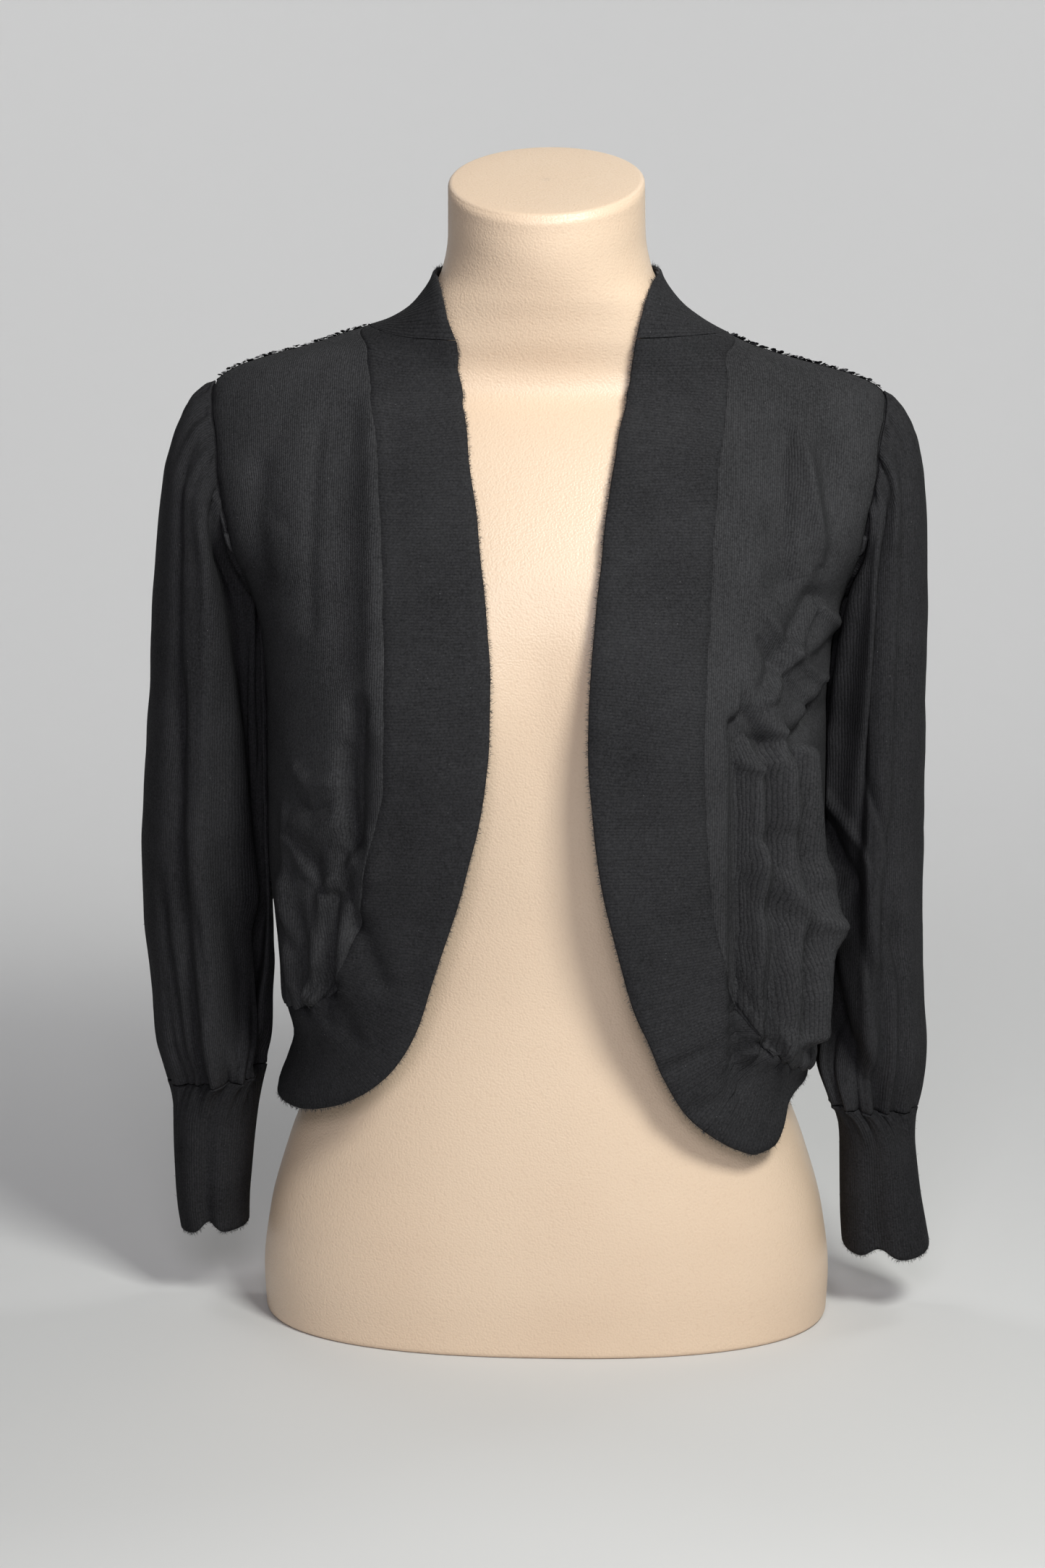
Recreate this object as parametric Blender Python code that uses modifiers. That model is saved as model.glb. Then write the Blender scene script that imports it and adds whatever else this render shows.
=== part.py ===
"""Knitted shrug on a limbless dress form.

Every size is in millimetres and is turned into metres as a mesh is made. The
base of the form stands on z = 0, the front faces -Y and the wearer's left is
at +X. The cloth is built from the pieces a maker would cut: two fronts, a
back, rib bands round the whole opening, two sleeves and two cuffs.
"""
import math

import bmesh
import bpy
import numpy as np

MM = 0.001

# Wall thicknesses and the space left where two pieces are sewn together.
PANEL_WALL = 1.4
RIB_WALL = 2.2
SLEEVE_WALL = 1.4
CUFF_WALL = 2.0
SEAM_GAP = 0.4

# Number of grid steps in each direction of a piece.
RIDGE_STEPS = 10
ARMHOLE_STEPS = 8
SIDE_STEPS = 20
NECK_STEPS = 10
BAND_STEPS = 4
SLEEVE_STEPS = 20
CUFF_STEPS = 5
FORM_AROUND = 32

# The neck of the form leans forward: its rings tip by this angle, fading in
# between the two heights.
NECK_TILT = math.radians(22)
TILT_FROM = 580.0
TILT_TO = 650.0

# Sections of the form: z, half_width, front, back, centre, exponent.
FORM = np.array([
    (0, 166, 104, 108, 0, 2.4),
    (25, 167, 104, 109, 0, 2.4),
    (60, 163, 101, 106, 0, 2.4),
    (100, 152, 96, 98, 0, 2.3),
    (140, 137, 91, 88, 0, 2.3),
    (175, 125, 87, 81, 0, 2.3),
    (205, 120, 85, 78, 0, 2.3),
    (240, 121, 86, 80, 0, 2.3),
    (280, 128, 90, 87, 0, 2.3),
    (320, 137, 93, 94, 0, 2.3),
    (360, 144, 94, 99, 0, 2.3),
    (400, 149, 92, 102, 0, 2.3),
    (430, 155, 87, 102, 0, 2.3),
    (460, 166, 79, 99, 2, 2.3),
    (485, 176, 70, 90, 4, 2.3),
    (508, 182, 60, 80, 6, 2.25),
    (524, 180, 50, 71, 7, 2.15),
    (533, 173, 44, 65, 8, 2.1),
    (540, 159, 41, 61, 8, 2.0),
    (547, 137, 41, 60, 8, 1.9),
    (555, 113, 43, 59, 7, 1.85),
    (564, 100, 47, 57, 6, 1.85),
    (576, 84.4, 50, 55.3, 4, 1.9),
    (590, 69.2, 53.3, 53.5, 1, 2.0),
    (606, 59.2, 54, 52, -3, 2.0),
    (625, 55.5, 54, 52, -7, 2.0),
    (655, 55, 54, 52, -12, 2.0),
])
FORM_RINGS = (
    0, 25, 60, 100, 140, 175, 205, 240, 270, 300, 330, 355, 380, 405, 430, 460,
    485, 508, 524, 533, 540, 547, 555, 564, 576, 590, 606, 625, 655,
)

# Sections of the cloth body's middle surface, in the same columns.
DRAPE = np.array([
    (80, 154, 106, 112, 0, 2.4),
    (120, 156, 110, 110, 0, 2.4),
    (150, 154, 113, 108, 0, 2.4),
    (175, 152, 115, 106, 0, 2.4),
    (205, 154, 117, 105, 0, 2.4),
    (240, 158, 119, 105, 0, 2.4),
    (280, 160, 121, 106, 0, 2.4),
    (320, 160, 121, 107, 0, 2.4),
    (360, 160, 118, 109, 0, 2.35),
    (400, 163, 108, 110, 0, 2.3),
    (425, 170, 98, 110, 0, 2.3),
    (450, 184, 90, 108, 1, 2.3),
    (475, 193, 80, 103, 3, 2.3),
    (500, 197, 69, 94, 5, 2.25),
    (518, 197, 60, 84, 7, 2.15),
    (530, 194, 53, 76, 8, 2.1),
    (537, 190, 49, 71, 8, 2.0),
    (543, 181, 46, 67, 8, 1.95),
    (549, 164, 45, 65, 8, 1.9),
    (556, 138, 46, 64, 7, 1.85),
    (562, 119, 48, 63, 7, 1.85),
    (569, 103, 51, 61, 6, 1.85),
    (577, 88, 54, 60, 4, 1.9),
    (588, 74, 57, 58, 2, 1.95),
    (604, 63.5, 58, 56, -2, 2.0),
    (625, 60, 58, 56, -7, 2.0),
    (650, 60, 58, 56, -12, 2.0),
])

# The bust: how far it stands out on the form and on the cloth over it.
BUST_X = 78.0
BUST_Z = 365.0
BUST_SPREAD_X = 42.0
BUST_SPREAD_Z = 48.0
FORM_BUST = 26.0
CLOTH_BUST = 8.0
CLOTH_CLEAR = 3.2
SLEEVE_CLEAR = 2.4
SLEEVE_LEAN = 8.0

# The wearer's right shoulder stands higher by this much.
RIGHT_LIFT = 6.5

# Ends of the outlines that the pieces share.
RIDGE_NECK_Z = 570.0
RIDGE_ARM_Z = 537.0

# Upper edge of the neck band. In front it climbs from the front bands, given by
# its distance from the middle and its height. Behind the shoulder ridge it is
# given by the angle round the neck, up to the middle of the back, and its height.
NECK_EDGE = np.array([(53.5, 576), (56, 586), (58.5, 595), (61, 601)])
NECK_EDGE_BACK = np.array([(90.0, 604.0), (135.0, 606.0), (180.0, 609.0)])
NECK_SEAM_BACK_Z = 563.0

# Armhole from the ridge down to the underarm: z, angle from the side seam
# towards the front or back in degrees.
ARMHOLE = np.array([
    (537, 0), (532, 8), (522, 15), (500, 20), (470, 20), (447, 15), (430, 8), (420, 0),
])

# Front bands, from the shoulder down and round the corner to the side seam:
# edge_x, edge_z, seam_x, seam_z. Rows marked 999 lie on the ridge or side.
BAND_RIGHT = np.array([
    (49.5, 566, 999, 570),
    (48.4, 556, 100.5, 558),
    (46.5, 541, 97.5, 541),
    (44.5, 526, 94.2, 521),
    (40, 495.5, 90, 494),
    (35.4, 471, 87.8, 470),
    (32.5, 446, 86, 446),
    (28.4, 413, 84.4, 412),
    (26.0, 383, 82.8, 380),
    (26.3, 351, 82.2, 348),
    (28.2, 330, 83, 326),
    (32.5, 304, 87.5, 304),
    (36.9, 287, 92, 286),
    (42.6, 265, 97, 263),
    (51.5, 238, 102.5, 240),
    (60, 212, 109, 221),
    (66, 193, 115, 209),
    (74.3, 176, 121, 202),
    (85.7, 161, 127.5, 196),
    (102, 148, 134.5, 191.5),
    (119, 139, 142, 188.5),
    (137, 133.5, 147.5, 187),
    (999, 131, 999, 186),
])
BAND_LEFT = np.array([
    (51.5, 567, 999, 570),
    (50, 557, 101, 558),
    (48.5, 547, 101.5, 546),
    (46.5, 534, 101, 531),
    (43.5, 520, 99, 513),
    (38.4, 487, 96, 490),
    (35.4, 463, 94.2, 463),
    (32.8, 434, 93.1, 434),
    (31, 413, 92.3, 410),
    (29.3, 389, 91, 384),
    (28.3, 364, 90, 357),
    (28.4, 339, 90, 335),
    (30.6, 313, 91, 312),
    (32.8, 292, 92.3, 291),
    (36.3, 270, 93.8, 270),
    (41.4, 248, 96, 250),
    (47, 226, 100.5, 231),
    (53.6, 203, 106, 214),
    (62.3, 183, 111, 199),
    (71, 162, 116, 186),
    (82, 143, 120.5, 177),
    (95, 130, 125, 171),
    (111, 119, 129.5, 166.5),
    (123, 114, 133.5, 163),
    (133, 116, 137.5, 160),
    (138.5, 125, 142, 157.5),
    (141, 137, 146, 155.5),
    (147, 143.5, 150.5, 154.5),
    (999, 146, 999, 154),
])
# Row of each table where the front seam turns into the hem seam.
CORNER_RIGHT = 16
CORNER_LEFT = 19

# How far the sides stand in or out of the smooth cloth: z, shift.
SIDE_RIGHT = np.array([
    (120, 2), (136, 1), (150, -3), (165, -6), (180, -3), (192, 0), (235, -1), (270, 0),
    (420, 0),
])
SIDE_LEFT = np.array([
    (120, -2), (145, -2), (153, 0), (162, 4), (178, 6), (195, 6), (215, 5), (240, 1),
    (270, 0), (420, 0),
])

# Folds of the body: x and z of the top, middle and bottom, rise (a trough is
# below zero), width on the wearer's right and on the left of the line.
FRONT_FOLDS = np.array([
    (-159, 494, -161, 465, -159, 436, -2.0, 9, 9),
    (-113, 523, -110, 455, -109, 390, -2.0, 12, 12),
    (-95, 528, -91, 450, -88, 360, 1.8, 7, 7),
    (-99, 367, -101, 335, -101, 297, -4.6, 7, 7),
    (-84, 350, -86, 318, -93, 275, 1.4, 8, 7),
    (-126, 282, -123, 240, -119, 212, -2.4, 6, 6),
    (-108, 285, -108, 262, -103, 246, -2.6, 6, 6),
    (-136, 299, -124, 296, -111, 303, 1.8, 6, 6),
    (-144, 262, -141, 230, -136, 204, 2.4, 7, 7),
    (-98, 248, -93, 232, -87, 216, -1.8, 6, 6),
    (-116, 206, -111, 195, -104, 182, -1.6, 7, 7),
    (131, 514, 129, 475, 131, 434, -2.6, 9, 8),
    (140, 504, 148, 476, 155, 457, 2.4, 8, 8),
    (158, 507, 159, 478, 157, 448, -2.4, 8, 7),
    (150, 424, 137, 402, 122, 380, -3.0, 7, 7),
    (160, 412, 152, 402, 138, 394, 2.0, 7, 7),
    (163, 384, 147, 370, 139, 357, 2.0, 6, 6),
    (162, 364, 150, 356, 140, 354, -2.4, 6, 6),
    (117, 382, 124, 367, 130, 352, 3.0, 8, 8),
    (115, 352, 122, 349, 132, 346, -3.2, 8, 8),
    (118, 336, 120, 320, 122, 304, 2.0, 6, 6),
    (131, 337, 133, 322, 134, 307, 2.0, 6, 6),
    (120, 281, 132, 262, 152, 236, 3.6, 8, 9),
    (109, 360, 109, 285, 110, 160, -6.0, 5, 12),
    (104, 352, 103, 285, 105, 172, 1.6, 7, 4),
    (127, 243, 129, 215, 129, 186, 4.6, 9, 9),
    (147, 268, 149, 225, 147, 178, 4.0, 8, 8),
    (129, 173, 140, 166, 151, 158, 2.0, 6, 6),
    (71, 170, 82, 173, 92, 178, -1.2, 5, 5),
    (86, 145, 98, 146, 109, 150, -1.2, 5, 5),
])
BACK_FOLDS = np.array([
    (-120, 520, -112, 430, -104, 330, -2.2, 13, 12),
    (118, 515, 112, 440, 108, 345, -2.4, 12, 13),
    (-46, 420, -50, 300, -62, 190, -3.4, 14, 12),
    (-18, 360, -16, 270, -22, 185, 2.6, 12, 12),
    (44, 400, 40, 290, 52, 185, -3.2, 12, 14),
    (14, 330, 18, 250, 15, 185, -2.2, 10, 11),
    (-104, 300, -100, 240, -108, 190, 2.8, 12, 12),
    (96, 310, 98, 240, 104, 180, 3.0, 12, 12),
    (130, 300, 134, 240, 128, 180, -2.6, 10, 10),
    (-132, 320, -136, 250, -131, 195, -2.4, 10, 10),
])

# Sleeves: outer_x, outer_z, inner_x, inner_z, front_y, back_y. The first row
# is the armhole itself; the last is the seam with the cuff.
SLEEVE_RIGHT = np.array([
    (191.5, 537.5, 171, 421, -25, 41),
    (203, 530, 168.3, 417.5, -33, 46),
    (213, 514, 167.3, 413, -40, 49),
    (219.5, 494, 166.6, 407, -44, 51),
    (223, 468, 165.8, 399, -46, 52),
    (226, 438, 165.3, 388, -47, 52),
    (228.5, 404, 164.8, 372, -47, 51),
    (230.5, 368, 164.4, 350, -46, 50),
    (233.5, 332, 163.8, 322, -45, 49),
    (236, 296, 163.3, 292, -44, 48),
    (237, 262, 162.3, 262, -43, 47),
    (236.5, 231, 161.3, 234, -42, 46),
    (234, 203, 160.8, 208, -41, 45),
    (231, 178, 162.3, 183, -39, 43),
    (227, 155, 163.5, 160, -36, 40),
    (222, 133, 166.5, 141, -31, 35),
])
SLEEVE_LEFT = np.array([
    (191.5, 537.5, 171, 421, -25, 41),
    (201, 528, 167.3, 417.5, -33, 46),
    (209, 512, 166.5, 413, -40, 49),
    (213.5, 492, 166, 407, -44, 51),
    (215.5, 466, 165.5, 399, -46, 52),
    (216.5, 436, 165.1, 388, -47, 52),
    (217, 402, 164.7, 372, -47, 51),
    (217, 366, 164.5, 350, -46, 50),
    (217.5, 330, 164.3, 322, -45, 49),
    (217.5, 294, 164, 291, -44, 48),
    (217.5, 260, 163.5, 260, -43, 47),
    (218, 228, 163, 231, -42, 46),
    (219, 198, 162.6, 202, -42, 44),
    (219.5, 170, 162.5, 176, -40, 42),
    (218, 146, 161, 152, -36, 39),
    (215, 122, 168, 130, -30, 33),
])

# Creases of the sleeves. Each line gives its place across the sleeve, from 0
# at the inner side to 1 at the outer side, at the top, middle and bottom, the
# share of the sleeve's length at its two ends, the side it is on (1 front,
# -1 back), its rise and its two widths round the sleeve.
CREASE_RIGHT = np.array([
    (0.60, 0.26, 0.08, 0.05, 0.97, 1, -6.4, 8, 10),
    (0.76, 0.69, 0.74, 0.47, 0.97, 1, -4.0, 6, 8),
    (0.28, 0.12, 0.06, 0.16, 0.60, 1, 2.0, 7, 7),
    (0.74, 0.48, 0.36, 0.05, 0.60, 1, 2.6, 9, 8),
    (0.62, 0.58, 0.50, 0.62, 0.98, 1, 2.6, 8, 8),
    (0.56, 0.50, 0.44, 0.04, 0.60, -1, -5.0, 9, 9),
    (0.28, 0.34, 0.30, 0.45, 0.97, -1, -4.4, 8, 8),
    (0.78, 0.72, 0.66, 0.40, 0.95, -1, -3.6, 8, 8),
])
CREASE_LEFT = np.array([
    (0.56, 0.36, 0.14, 0.05, 0.62, 1, -5.4, 7, 9),
    (0.74, 0.72, 0.62, 0.04, 0.95, 1, -4.4, 8, 10),
    (0.40, 0.22, 0.26, 0.25, 0.70, 1, 3.2, 7, 7),
    (0.26, 0.44, 0.62, 0.62, 0.80, 1, -4.4, 7, 7),
    (0.18, 0.34, 0.56, 0.78, 0.95, 1, -5.0, 7, 7),
    (0.20, 0.30, 0.42, 0.68, 0.86, 1, 3.4, 7, 7),
    (0.05, 0.32, 0.62, 0.80, 0.93, 1, -3.4, 9, 7),
    (0.54, 0.48, 0.40, 0.05, 0.58, -1, -5.0, 9, 9),
    (0.34, 0.40, 0.36, 0.50, 0.96, -1, -4.6, 8, 8),
    (0.76, 0.70, 0.74, 0.30, 0.92, -1, -3.8, 8, 8),
])

# Cuffs: outer_x, outer_z, inner_x, inner_z, front_y, back_y.
CUFF_RIGHT = np.array([
    (221.5, 131, 167.0, 139, -30, 34),
    (220.5, 118, 171, 124, -27, 30),
    (220.5, 98, 174.5, 100, -25, 27),
    (220, 76, 177, 76, -24, 26),
    (219, 58, 178.5, 60, -24, 26),
    (217, 44, 179, 46, -24, 26),
])
CUFF_LEFT = np.array([
    (214.5, 120, 168.5, 128, -29, 32),
    (215.5, 106, 173.5, 112, -27, 29),
    (217.5, 88, 174, 92, -26, 28),
    (220, 70, 174.5, 72, -26, 28),
    (223, 54, 175, 56, -26, 28),
    (225.5, 41, 176, 42, -26, 28),
])
# Lengthwise creases of the cuffs: place across, side, rise, width.
CUFF_CREASE_RIGHT = np.array([(0.52, 1, -5.0, 7), (0.45, -1, -3.0, 9)])
CUFF_CREASE_LEFT = np.array([(0.40, 1, -3.4, 8), (0.60, -1, -3.0, 9)])
CUFF_NOTCH = 6.0
CUFF_SAG_RIGHT = 0.0
CUFF_SAG_LEFT = 6.0

# Gathers: how high they stand, their spacing and how far they reach.
GATHER_RISE = 1.5
GATHER_PITCH = 13.0
GATHER_REACH = 22.0
SLEEVE_GATHERS = 13
SLEEVE_GATHER_RISE = 1.9
SLEEVE_GATHER_REACH = 0.16

# No fold reaches higher than this.
FOLDS_END_Z = 548.0

# Heights and angles at which the length round the cloth is measured.
ARC_Z = np.arange(80.0, 652.0, 4.0)
ARC_ANGLE = np.arange(0.0, 361.0, 1.5)

# Colours and roughness of each slot.
CLOTH_COLOUR = (0.030, 0.030, 0.034)
RIB_COLOUR = (0.036, 0.036, 0.040)
BACK_COLOUR = (0.022, 0.022, 0.025)
FORM_COLOUR = (0.80, 0.60, 0.44)


def through(at, rows_at, rows_value):
    """Smooth curve through table rows that never swings past them."""
    x = np.asarray(rows_at, float)
    y = np.asarray(rows_value, float)
    at = np.clip(np.asarray(at, float), x[0], x[-1])
    step = np.diff(x)
    slope = np.diff(y) / step
    tangent = np.empty(len(x))
    tangent[0] = slope[0]
    tangent[-1] = slope[-1]
    same = slope[:-1] * slope[1:] > 0
    total = np.where(same, slope[:-1] + slope[1:], 1.0)
    tangent[1:-1] = np.where(same, 2 * slope[:-1] * slope[1:] / total, 0.0)
    i = np.clip(np.searchsorted(x, at, side="right") - 1, 0, len(x) - 2)
    t = (at - x[i]) / step[i]
    value = (1 + 2 * t) * (1 - t) ** 2 * y[i] + t * t * (3 - 2 * t) * y[i + 1]
    value += t * (1 - t) ** 2 * step[i] * tangent[i] + t * t * (t - 1) * step[i] * tangent[i + 1]
    return value


def smooth(t):
    """Rise from 0 to 1 with level ends."""
    t = np.clip(t, 0, 1)
    return t * t * (3 - 2 * t)


def section(table, z):
    """Half width, front, back, centre and exponent of a section at z."""
    return [through(z, table[:, 0], table[:, k]) for k in range(1, 6)]


def bust(x, z, rise):
    """How far the two mounds of the bust stand out."""
    across = ((np.abs(x) - BUST_X) / BUST_SPREAD_X) ** 2
    up = ((z - BUST_Z) / BUST_SPREAD_Z) ** 2
    return rise * np.exp(-across - up)


def front_depth(table, x, z, rise):
    """Distance of the front surface from the centre line of its section."""
    half, front, back, centre, power = section(table, z)
    s = np.clip(np.abs(x) / half, 0, 1)
    return front * (1 - s ** power) ** (1 / power) + bust(x, z, rise) - centre


def tilt(x, y, z):
    """Tip the rings of the neck forward."""
    lean = smooth((z - TILT_FROM) / (TILT_TO - TILT_FROM))
    centre = through(z, FORM[:, 0], FORM[:, 4])
    return z + (y - centre) * math.tan(NECK_TILT) * lean


def ring_point(table, angle, z, rise):
    """Point of a section; angle 0 is the front centre and 90 the side."""
    half, front, back, centre, power = section(table, z)
    sine = np.sin(np.radians(angle))
    cosine = np.cos(np.radians(angle))
    x = half * np.sign(sine) * np.abs(sine) ** (2 / power)
    depth = np.where(cosine > 0, front, back) * np.abs(cosine) ** (2 / power)
    y = centre - np.sign(cosine) * depth
    y = y - np.where(cosine > 0, bust(x, z, rise), 0)
    return x, y


def form_point(angle, z):
    """Point of the dress form."""
    x, y = ring_point(FORM, angle, z, FORM_BUST)
    return np.stack([x, y, tilt(x, y, z)], -1)


def side_shift(x, z):
    """Width added to the smooth cloth at its sides."""
    shift = np.where(x < 0, through(z, *SIDE_RIGHT.T), through(z, *SIDE_LEFT.T))
    half = section(DRAPE, z)[0]
    return np.sign(x) * shift * smooth((np.abs(x) / half - 0.55) / 0.45)


def drape_point(angle, z):
    """Point of the cloth's smooth middle surface."""
    x, y = ring_point(DRAPE, angle, z, CLOTH_BUST)
    x = x + side_shift(x, z)
    over = -front_depth(FORM, x, z, FORM_BUST) - CLOTH_CLEAR
    blend = 3.0
    closer = np.minimum(y, over) - blend * np.exp(-np.abs(y - over) / blend) * 0.5
    front = np.cos(np.radians(angle)) > 0
    narrow = np.abs(x) < section(FORM, z)[0] * 0.97
    y = np.where(front & narrow, closer, y)
    return np.stack([x, y, tilt(x, y, z)], -1)


def line_distance(x, z, row):
    """Signed distance to a bent line and how far along it a point lies."""
    best = np.full(np.shape(x), 1e9)
    side = np.zeros(np.shape(x))
    for k in (0, 2):
        ax, az, bx, bz = row[k], row[k + 1], row[k + 2], row[k + 3]
        length = math.hypot(bx - ax, bz - az)
        ux, uz = (bx - ax) / length, (bz - az) / length
        along = np.clip((x - ax) * ux + (z - az) * uz, 0, length)
        gap = np.hypot(x - ax - along * ux, z - az - along * uz)
        cross = (x - ax) * -uz + (z - az) * ux
        nearer = gap < best
        best = np.where(nearer, gap, best)
        side = np.where(nearer, cross, side)
    return best, side


def relief(x, z, front):
    """Height of the body's folds above its smooth surface."""
    total = np.zeros(np.shape(x))
    for table, on_front in ((FRONT_FOLDS, True), (BACK_FOLDS, False)):
        height = np.zeros(np.shape(x))
        for row in table:
            gap, side = line_distance(x, z, row)
            width = np.where(side > 0, row[8], row[7])
            height = height + row[6] * np.exp(-(gap / width) ** 2)
        total = total + np.where(front == on_front, height, 0)
    return total * smooth((FOLDS_END_Z - z) / 30)


def side_fade(angle):
    """Let folds die out towards the side seam, where front meets back."""
    return smooth(np.abs(np.cos(np.radians(angle))) / 0.30)


def body_point(angle, z):
    """Point of the folded cloth body."""
    base = drape_point(angle, z)
    ahead = drape_point(angle + 0.6, z) - drape_point(angle - 0.6, z)
    above = drape_point(angle, z + 0.8) - drape_point(angle, z - 0.8)
    normal = np.cross(ahead, above)
    normal = normal / np.linalg.norm(normal, axis=-1, keepdims=True)
    front = np.cos(np.radians(angle)) > 0
    height = relief(base[..., 0], z, front) * side_fade(angle)
    lower = -0.45 * np.where(front, clearance(base), 9.0)
    height = np.maximum(height, lower)
    return base + normal * height[..., None]


def clearance(point):
    """How far a point of the front stands out from the form."""
    reach = front_depth(FORM, point[..., 0], point[..., 2], FORM_BUST)
    free = -point[..., 1] - reach
    inside = np.abs(point[..., 0]) < section(FORM, point[..., 2])[0] * 0.9
    return np.clip(np.where(inside, free, 14.0), 0, 14)


def angle_of(x, z):
    """Angle of the point of the cloth whose distance from the middle is x."""
    half, front, back, centre, power = section(DRAPE, z)
    s = np.clip(np.abs(x) / half, 0, 1)
    return np.degrees(np.arcsin(s ** (power / 2)))


def spread(points, count, place):
    """Resample a line so that its steps are even on the cloth."""
    fine = np.linspace(0, len(points) - 1, 40 * len(points))
    rows = np.arange(len(points))
    path = np.stack([through(fine, rows, points[:, k]) for k in range(2)], -1)
    real = place(path[:, 0], path[:, 1])
    step = np.linalg.norm(np.diff(real, axis=0), axis=1)
    run = np.concatenate([[0], np.cumsum(step)])
    want = np.linspace(0, run[-1], count + 1)
    return np.stack([np.interp(want, run, path[:, k]) for k in range(2)], -1)


def arc_table():
    """Running length round the smooth cloth at a set of heights."""
    rows = []
    for z in ARC_Z:
        x, y = ring_point(DRAPE, ARC_ANGLE, np.full(len(ARC_ANGLE), z), CLOTH_BUST)
        step = np.hypot(np.diff(x), np.diff(y))
        rows.append(np.concatenate([[0], np.cumsum(step)]))
    return np.array(rows)


ARC = arc_table()


def arc_row(z):
    """Running length round the cloth at one height."""
    place = np.clip((z - ARC_Z[0]) / (ARC_Z[1] - ARC_Z[0]), 0, len(ARC_Z) - 1.001)
    i = int(place)
    return ARC[i] * (1 - place + i) + ARC[i + 1] * (place - i)


def flatten(line, start):
    """Turn (angle, z) into (length round the cloth from a start angle, z)."""
    out = np.array(line, float)
    for k, (angle, z) in enumerate(line):
        row = arc_row(z)
        out[k, 0] = np.interp(angle, ARC_ANGLE, row) - np.interp(start, ARC_ANGLE, row)
    return out


def unflatten(flat, start):
    """Turn (length, z) back into (angle, z)."""
    out = np.array(flat, float)
    for i, j in np.ndindex(flat.shape[:2]):
        row = arc_row(flat[i, j, 1])
        out[i, j, 0] = np.interp(flat[i, j, 0] + np.interp(start, ARC_ANGLE, row), row, ARC_ANGLE)
    return out


def coons(left, right, top, bottom, start):
    """Fill the area between four lines of (angle, z) points."""
    left, right, top, bottom = (flatten(line, start) for line in (left, right, top, bottom))
    rows, columns = len(left), len(top)
    v = np.linspace(0, 1, rows)[:, None, None]
    u = np.linspace(0, 1, columns)[None, :, None]
    across = (1 - u) * left[:, None, :] + u * right[:, None, :]
    down = (1 - v) * top[None, :, :] + v * bottom[None, :, :]
    corners = (1 - u) * (1 - v) * top[0] + u * (1 - v) * top[-1]
    corners = corners + (1 - u) * v * bottom[0] + u * v * bottom[-1]
    return unflatten(across + down - corners, start)


def draw_in(grid, amounts):
    """Pull the sides of a grid in: first row, last row, first and last column."""
    grid = grid.copy()
    for k, (edge, inner) in enumerate(((0, 1), (-1, -2))):
        way = grid[inner] - grid[edge]
        way = way / np.linalg.norm(way, axis=-1, keepdims=True)
        grid[edge] = grid[edge] + way * amounts[k]
    for k, (edge, inner) in enumerate(((0, 1), (-1, -2))):
        way = grid[:, inner] - grid[:, edge]
        way = way / np.linalg.norm(way, axis=-1, keepdims=True)
        grid[:, edge] = grid[:, edge] + way * amounts[k + 2]
    return grid


class Side:
    """The shared outlines of one half of the garment."""

    def __init__(self, sign, band, corner, sleeve, crease, cuff, cuff_crease, cuff_sag):
        self.sign = sign
        self.band = band
        self.sleeve = sleeve
        self.crease = crease
        self.cuff = cuff
        self.cuff_crease = cuff_crease
        self.cuff_sag = cuff_sag
        edge = [self.on_body(row[0], row[1]) for row in band]
        seam = [self.on_body(row[2], row[3]) for row in band]
        seam = np.array(seam)
        edge = np.array(edge)
        self.rows = ARMHOLE_STEPS + SIDE_STEPS
        front = spread(seam[:corner + 1], self.rows, self.place)
        hem = spread(seam[corner:], RIDGE_STEPS, self.place)
        self.front_seam = front
        self.hem_seam = hem
        self.seam = np.concatenate([front, hem[1:]])
        rows = np.arange(len(band))
        fine = np.linspace(0, len(band) - 1, 60 * len(band))
        path = np.stack([through(fine, rows, seam[:, k]) for k in range(2)], -1)
        gap = np.abs(self.seam[:, None, :] - path[None, :, :]).sum(-1)
        place = fine[np.argmin(gap, axis=1)]
        self.edge = np.stack([through(place, rows, edge[:, k]) for k in range(2)], -1)
        ridge = np.array([(90.0, RIDGE_NECK_Z), (90.0, 553.0), (90.0, RIDGE_ARM_Z)])
        self.ridge = spread(ridge, RIDGE_STEPS, self.place)
        hole = np.stack([90 - ARMHOLE[:, 1], ARMHOLE[:, 0]], -1)
        self.armhole_front = spread(hole, ARMHOLE_STEPS, self.place)
        self.armhole_back = self.armhole_front * [-1, 1] + [180, 0]
        side = np.array([(90.0, ARMHOLE[-1, 0]), (90.0, 300.0), (90.0, hem[-1, 1])])
        self.side_seam = spread(side, SIDE_STEPS, self.place)

    def on_body(self, x, z):
        """Turn a distance from the middle into an angle."""
        return (90.0 if x > 900 else float(angle_of(x, z)), z)

    def place(self, angle, z):
        """Point of the cloth on this half of the body."""
        return body_point(self.sign * np.asarray(angle), np.asarray(z))

    def front_panel(self):
        """Grid of the front, from the ridge down, band to side."""
        side = np.concatenate([self.armhole_front, self.side_seam[1:]])
        flat = coons(self.front_seam, side, self.ridge, self.hem_seam, 0.0)
        grid = self.place(flat[..., 0], flat[..., 1])
        grid = gather(grid, self.rows)
        grid = draw_in(grid, (0.6, 0.4, 0.4, 0))
        return side_inset(grid)

    def front_band(self):
        """Grid of the rib band, from the shoulder to the side seam."""
        t = np.linspace(0, 1, BAND_STEPS + 1)[None, :, None]
        flat = self.seam[:, None, :] * (1 - t) + self.edge[:, None, :] * t
        grid = self.place(flat[..., 0], flat[..., 1])
        return draw_in(grid, (0.5, SEAM_GAP / 2, 0.4, 0))


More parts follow.
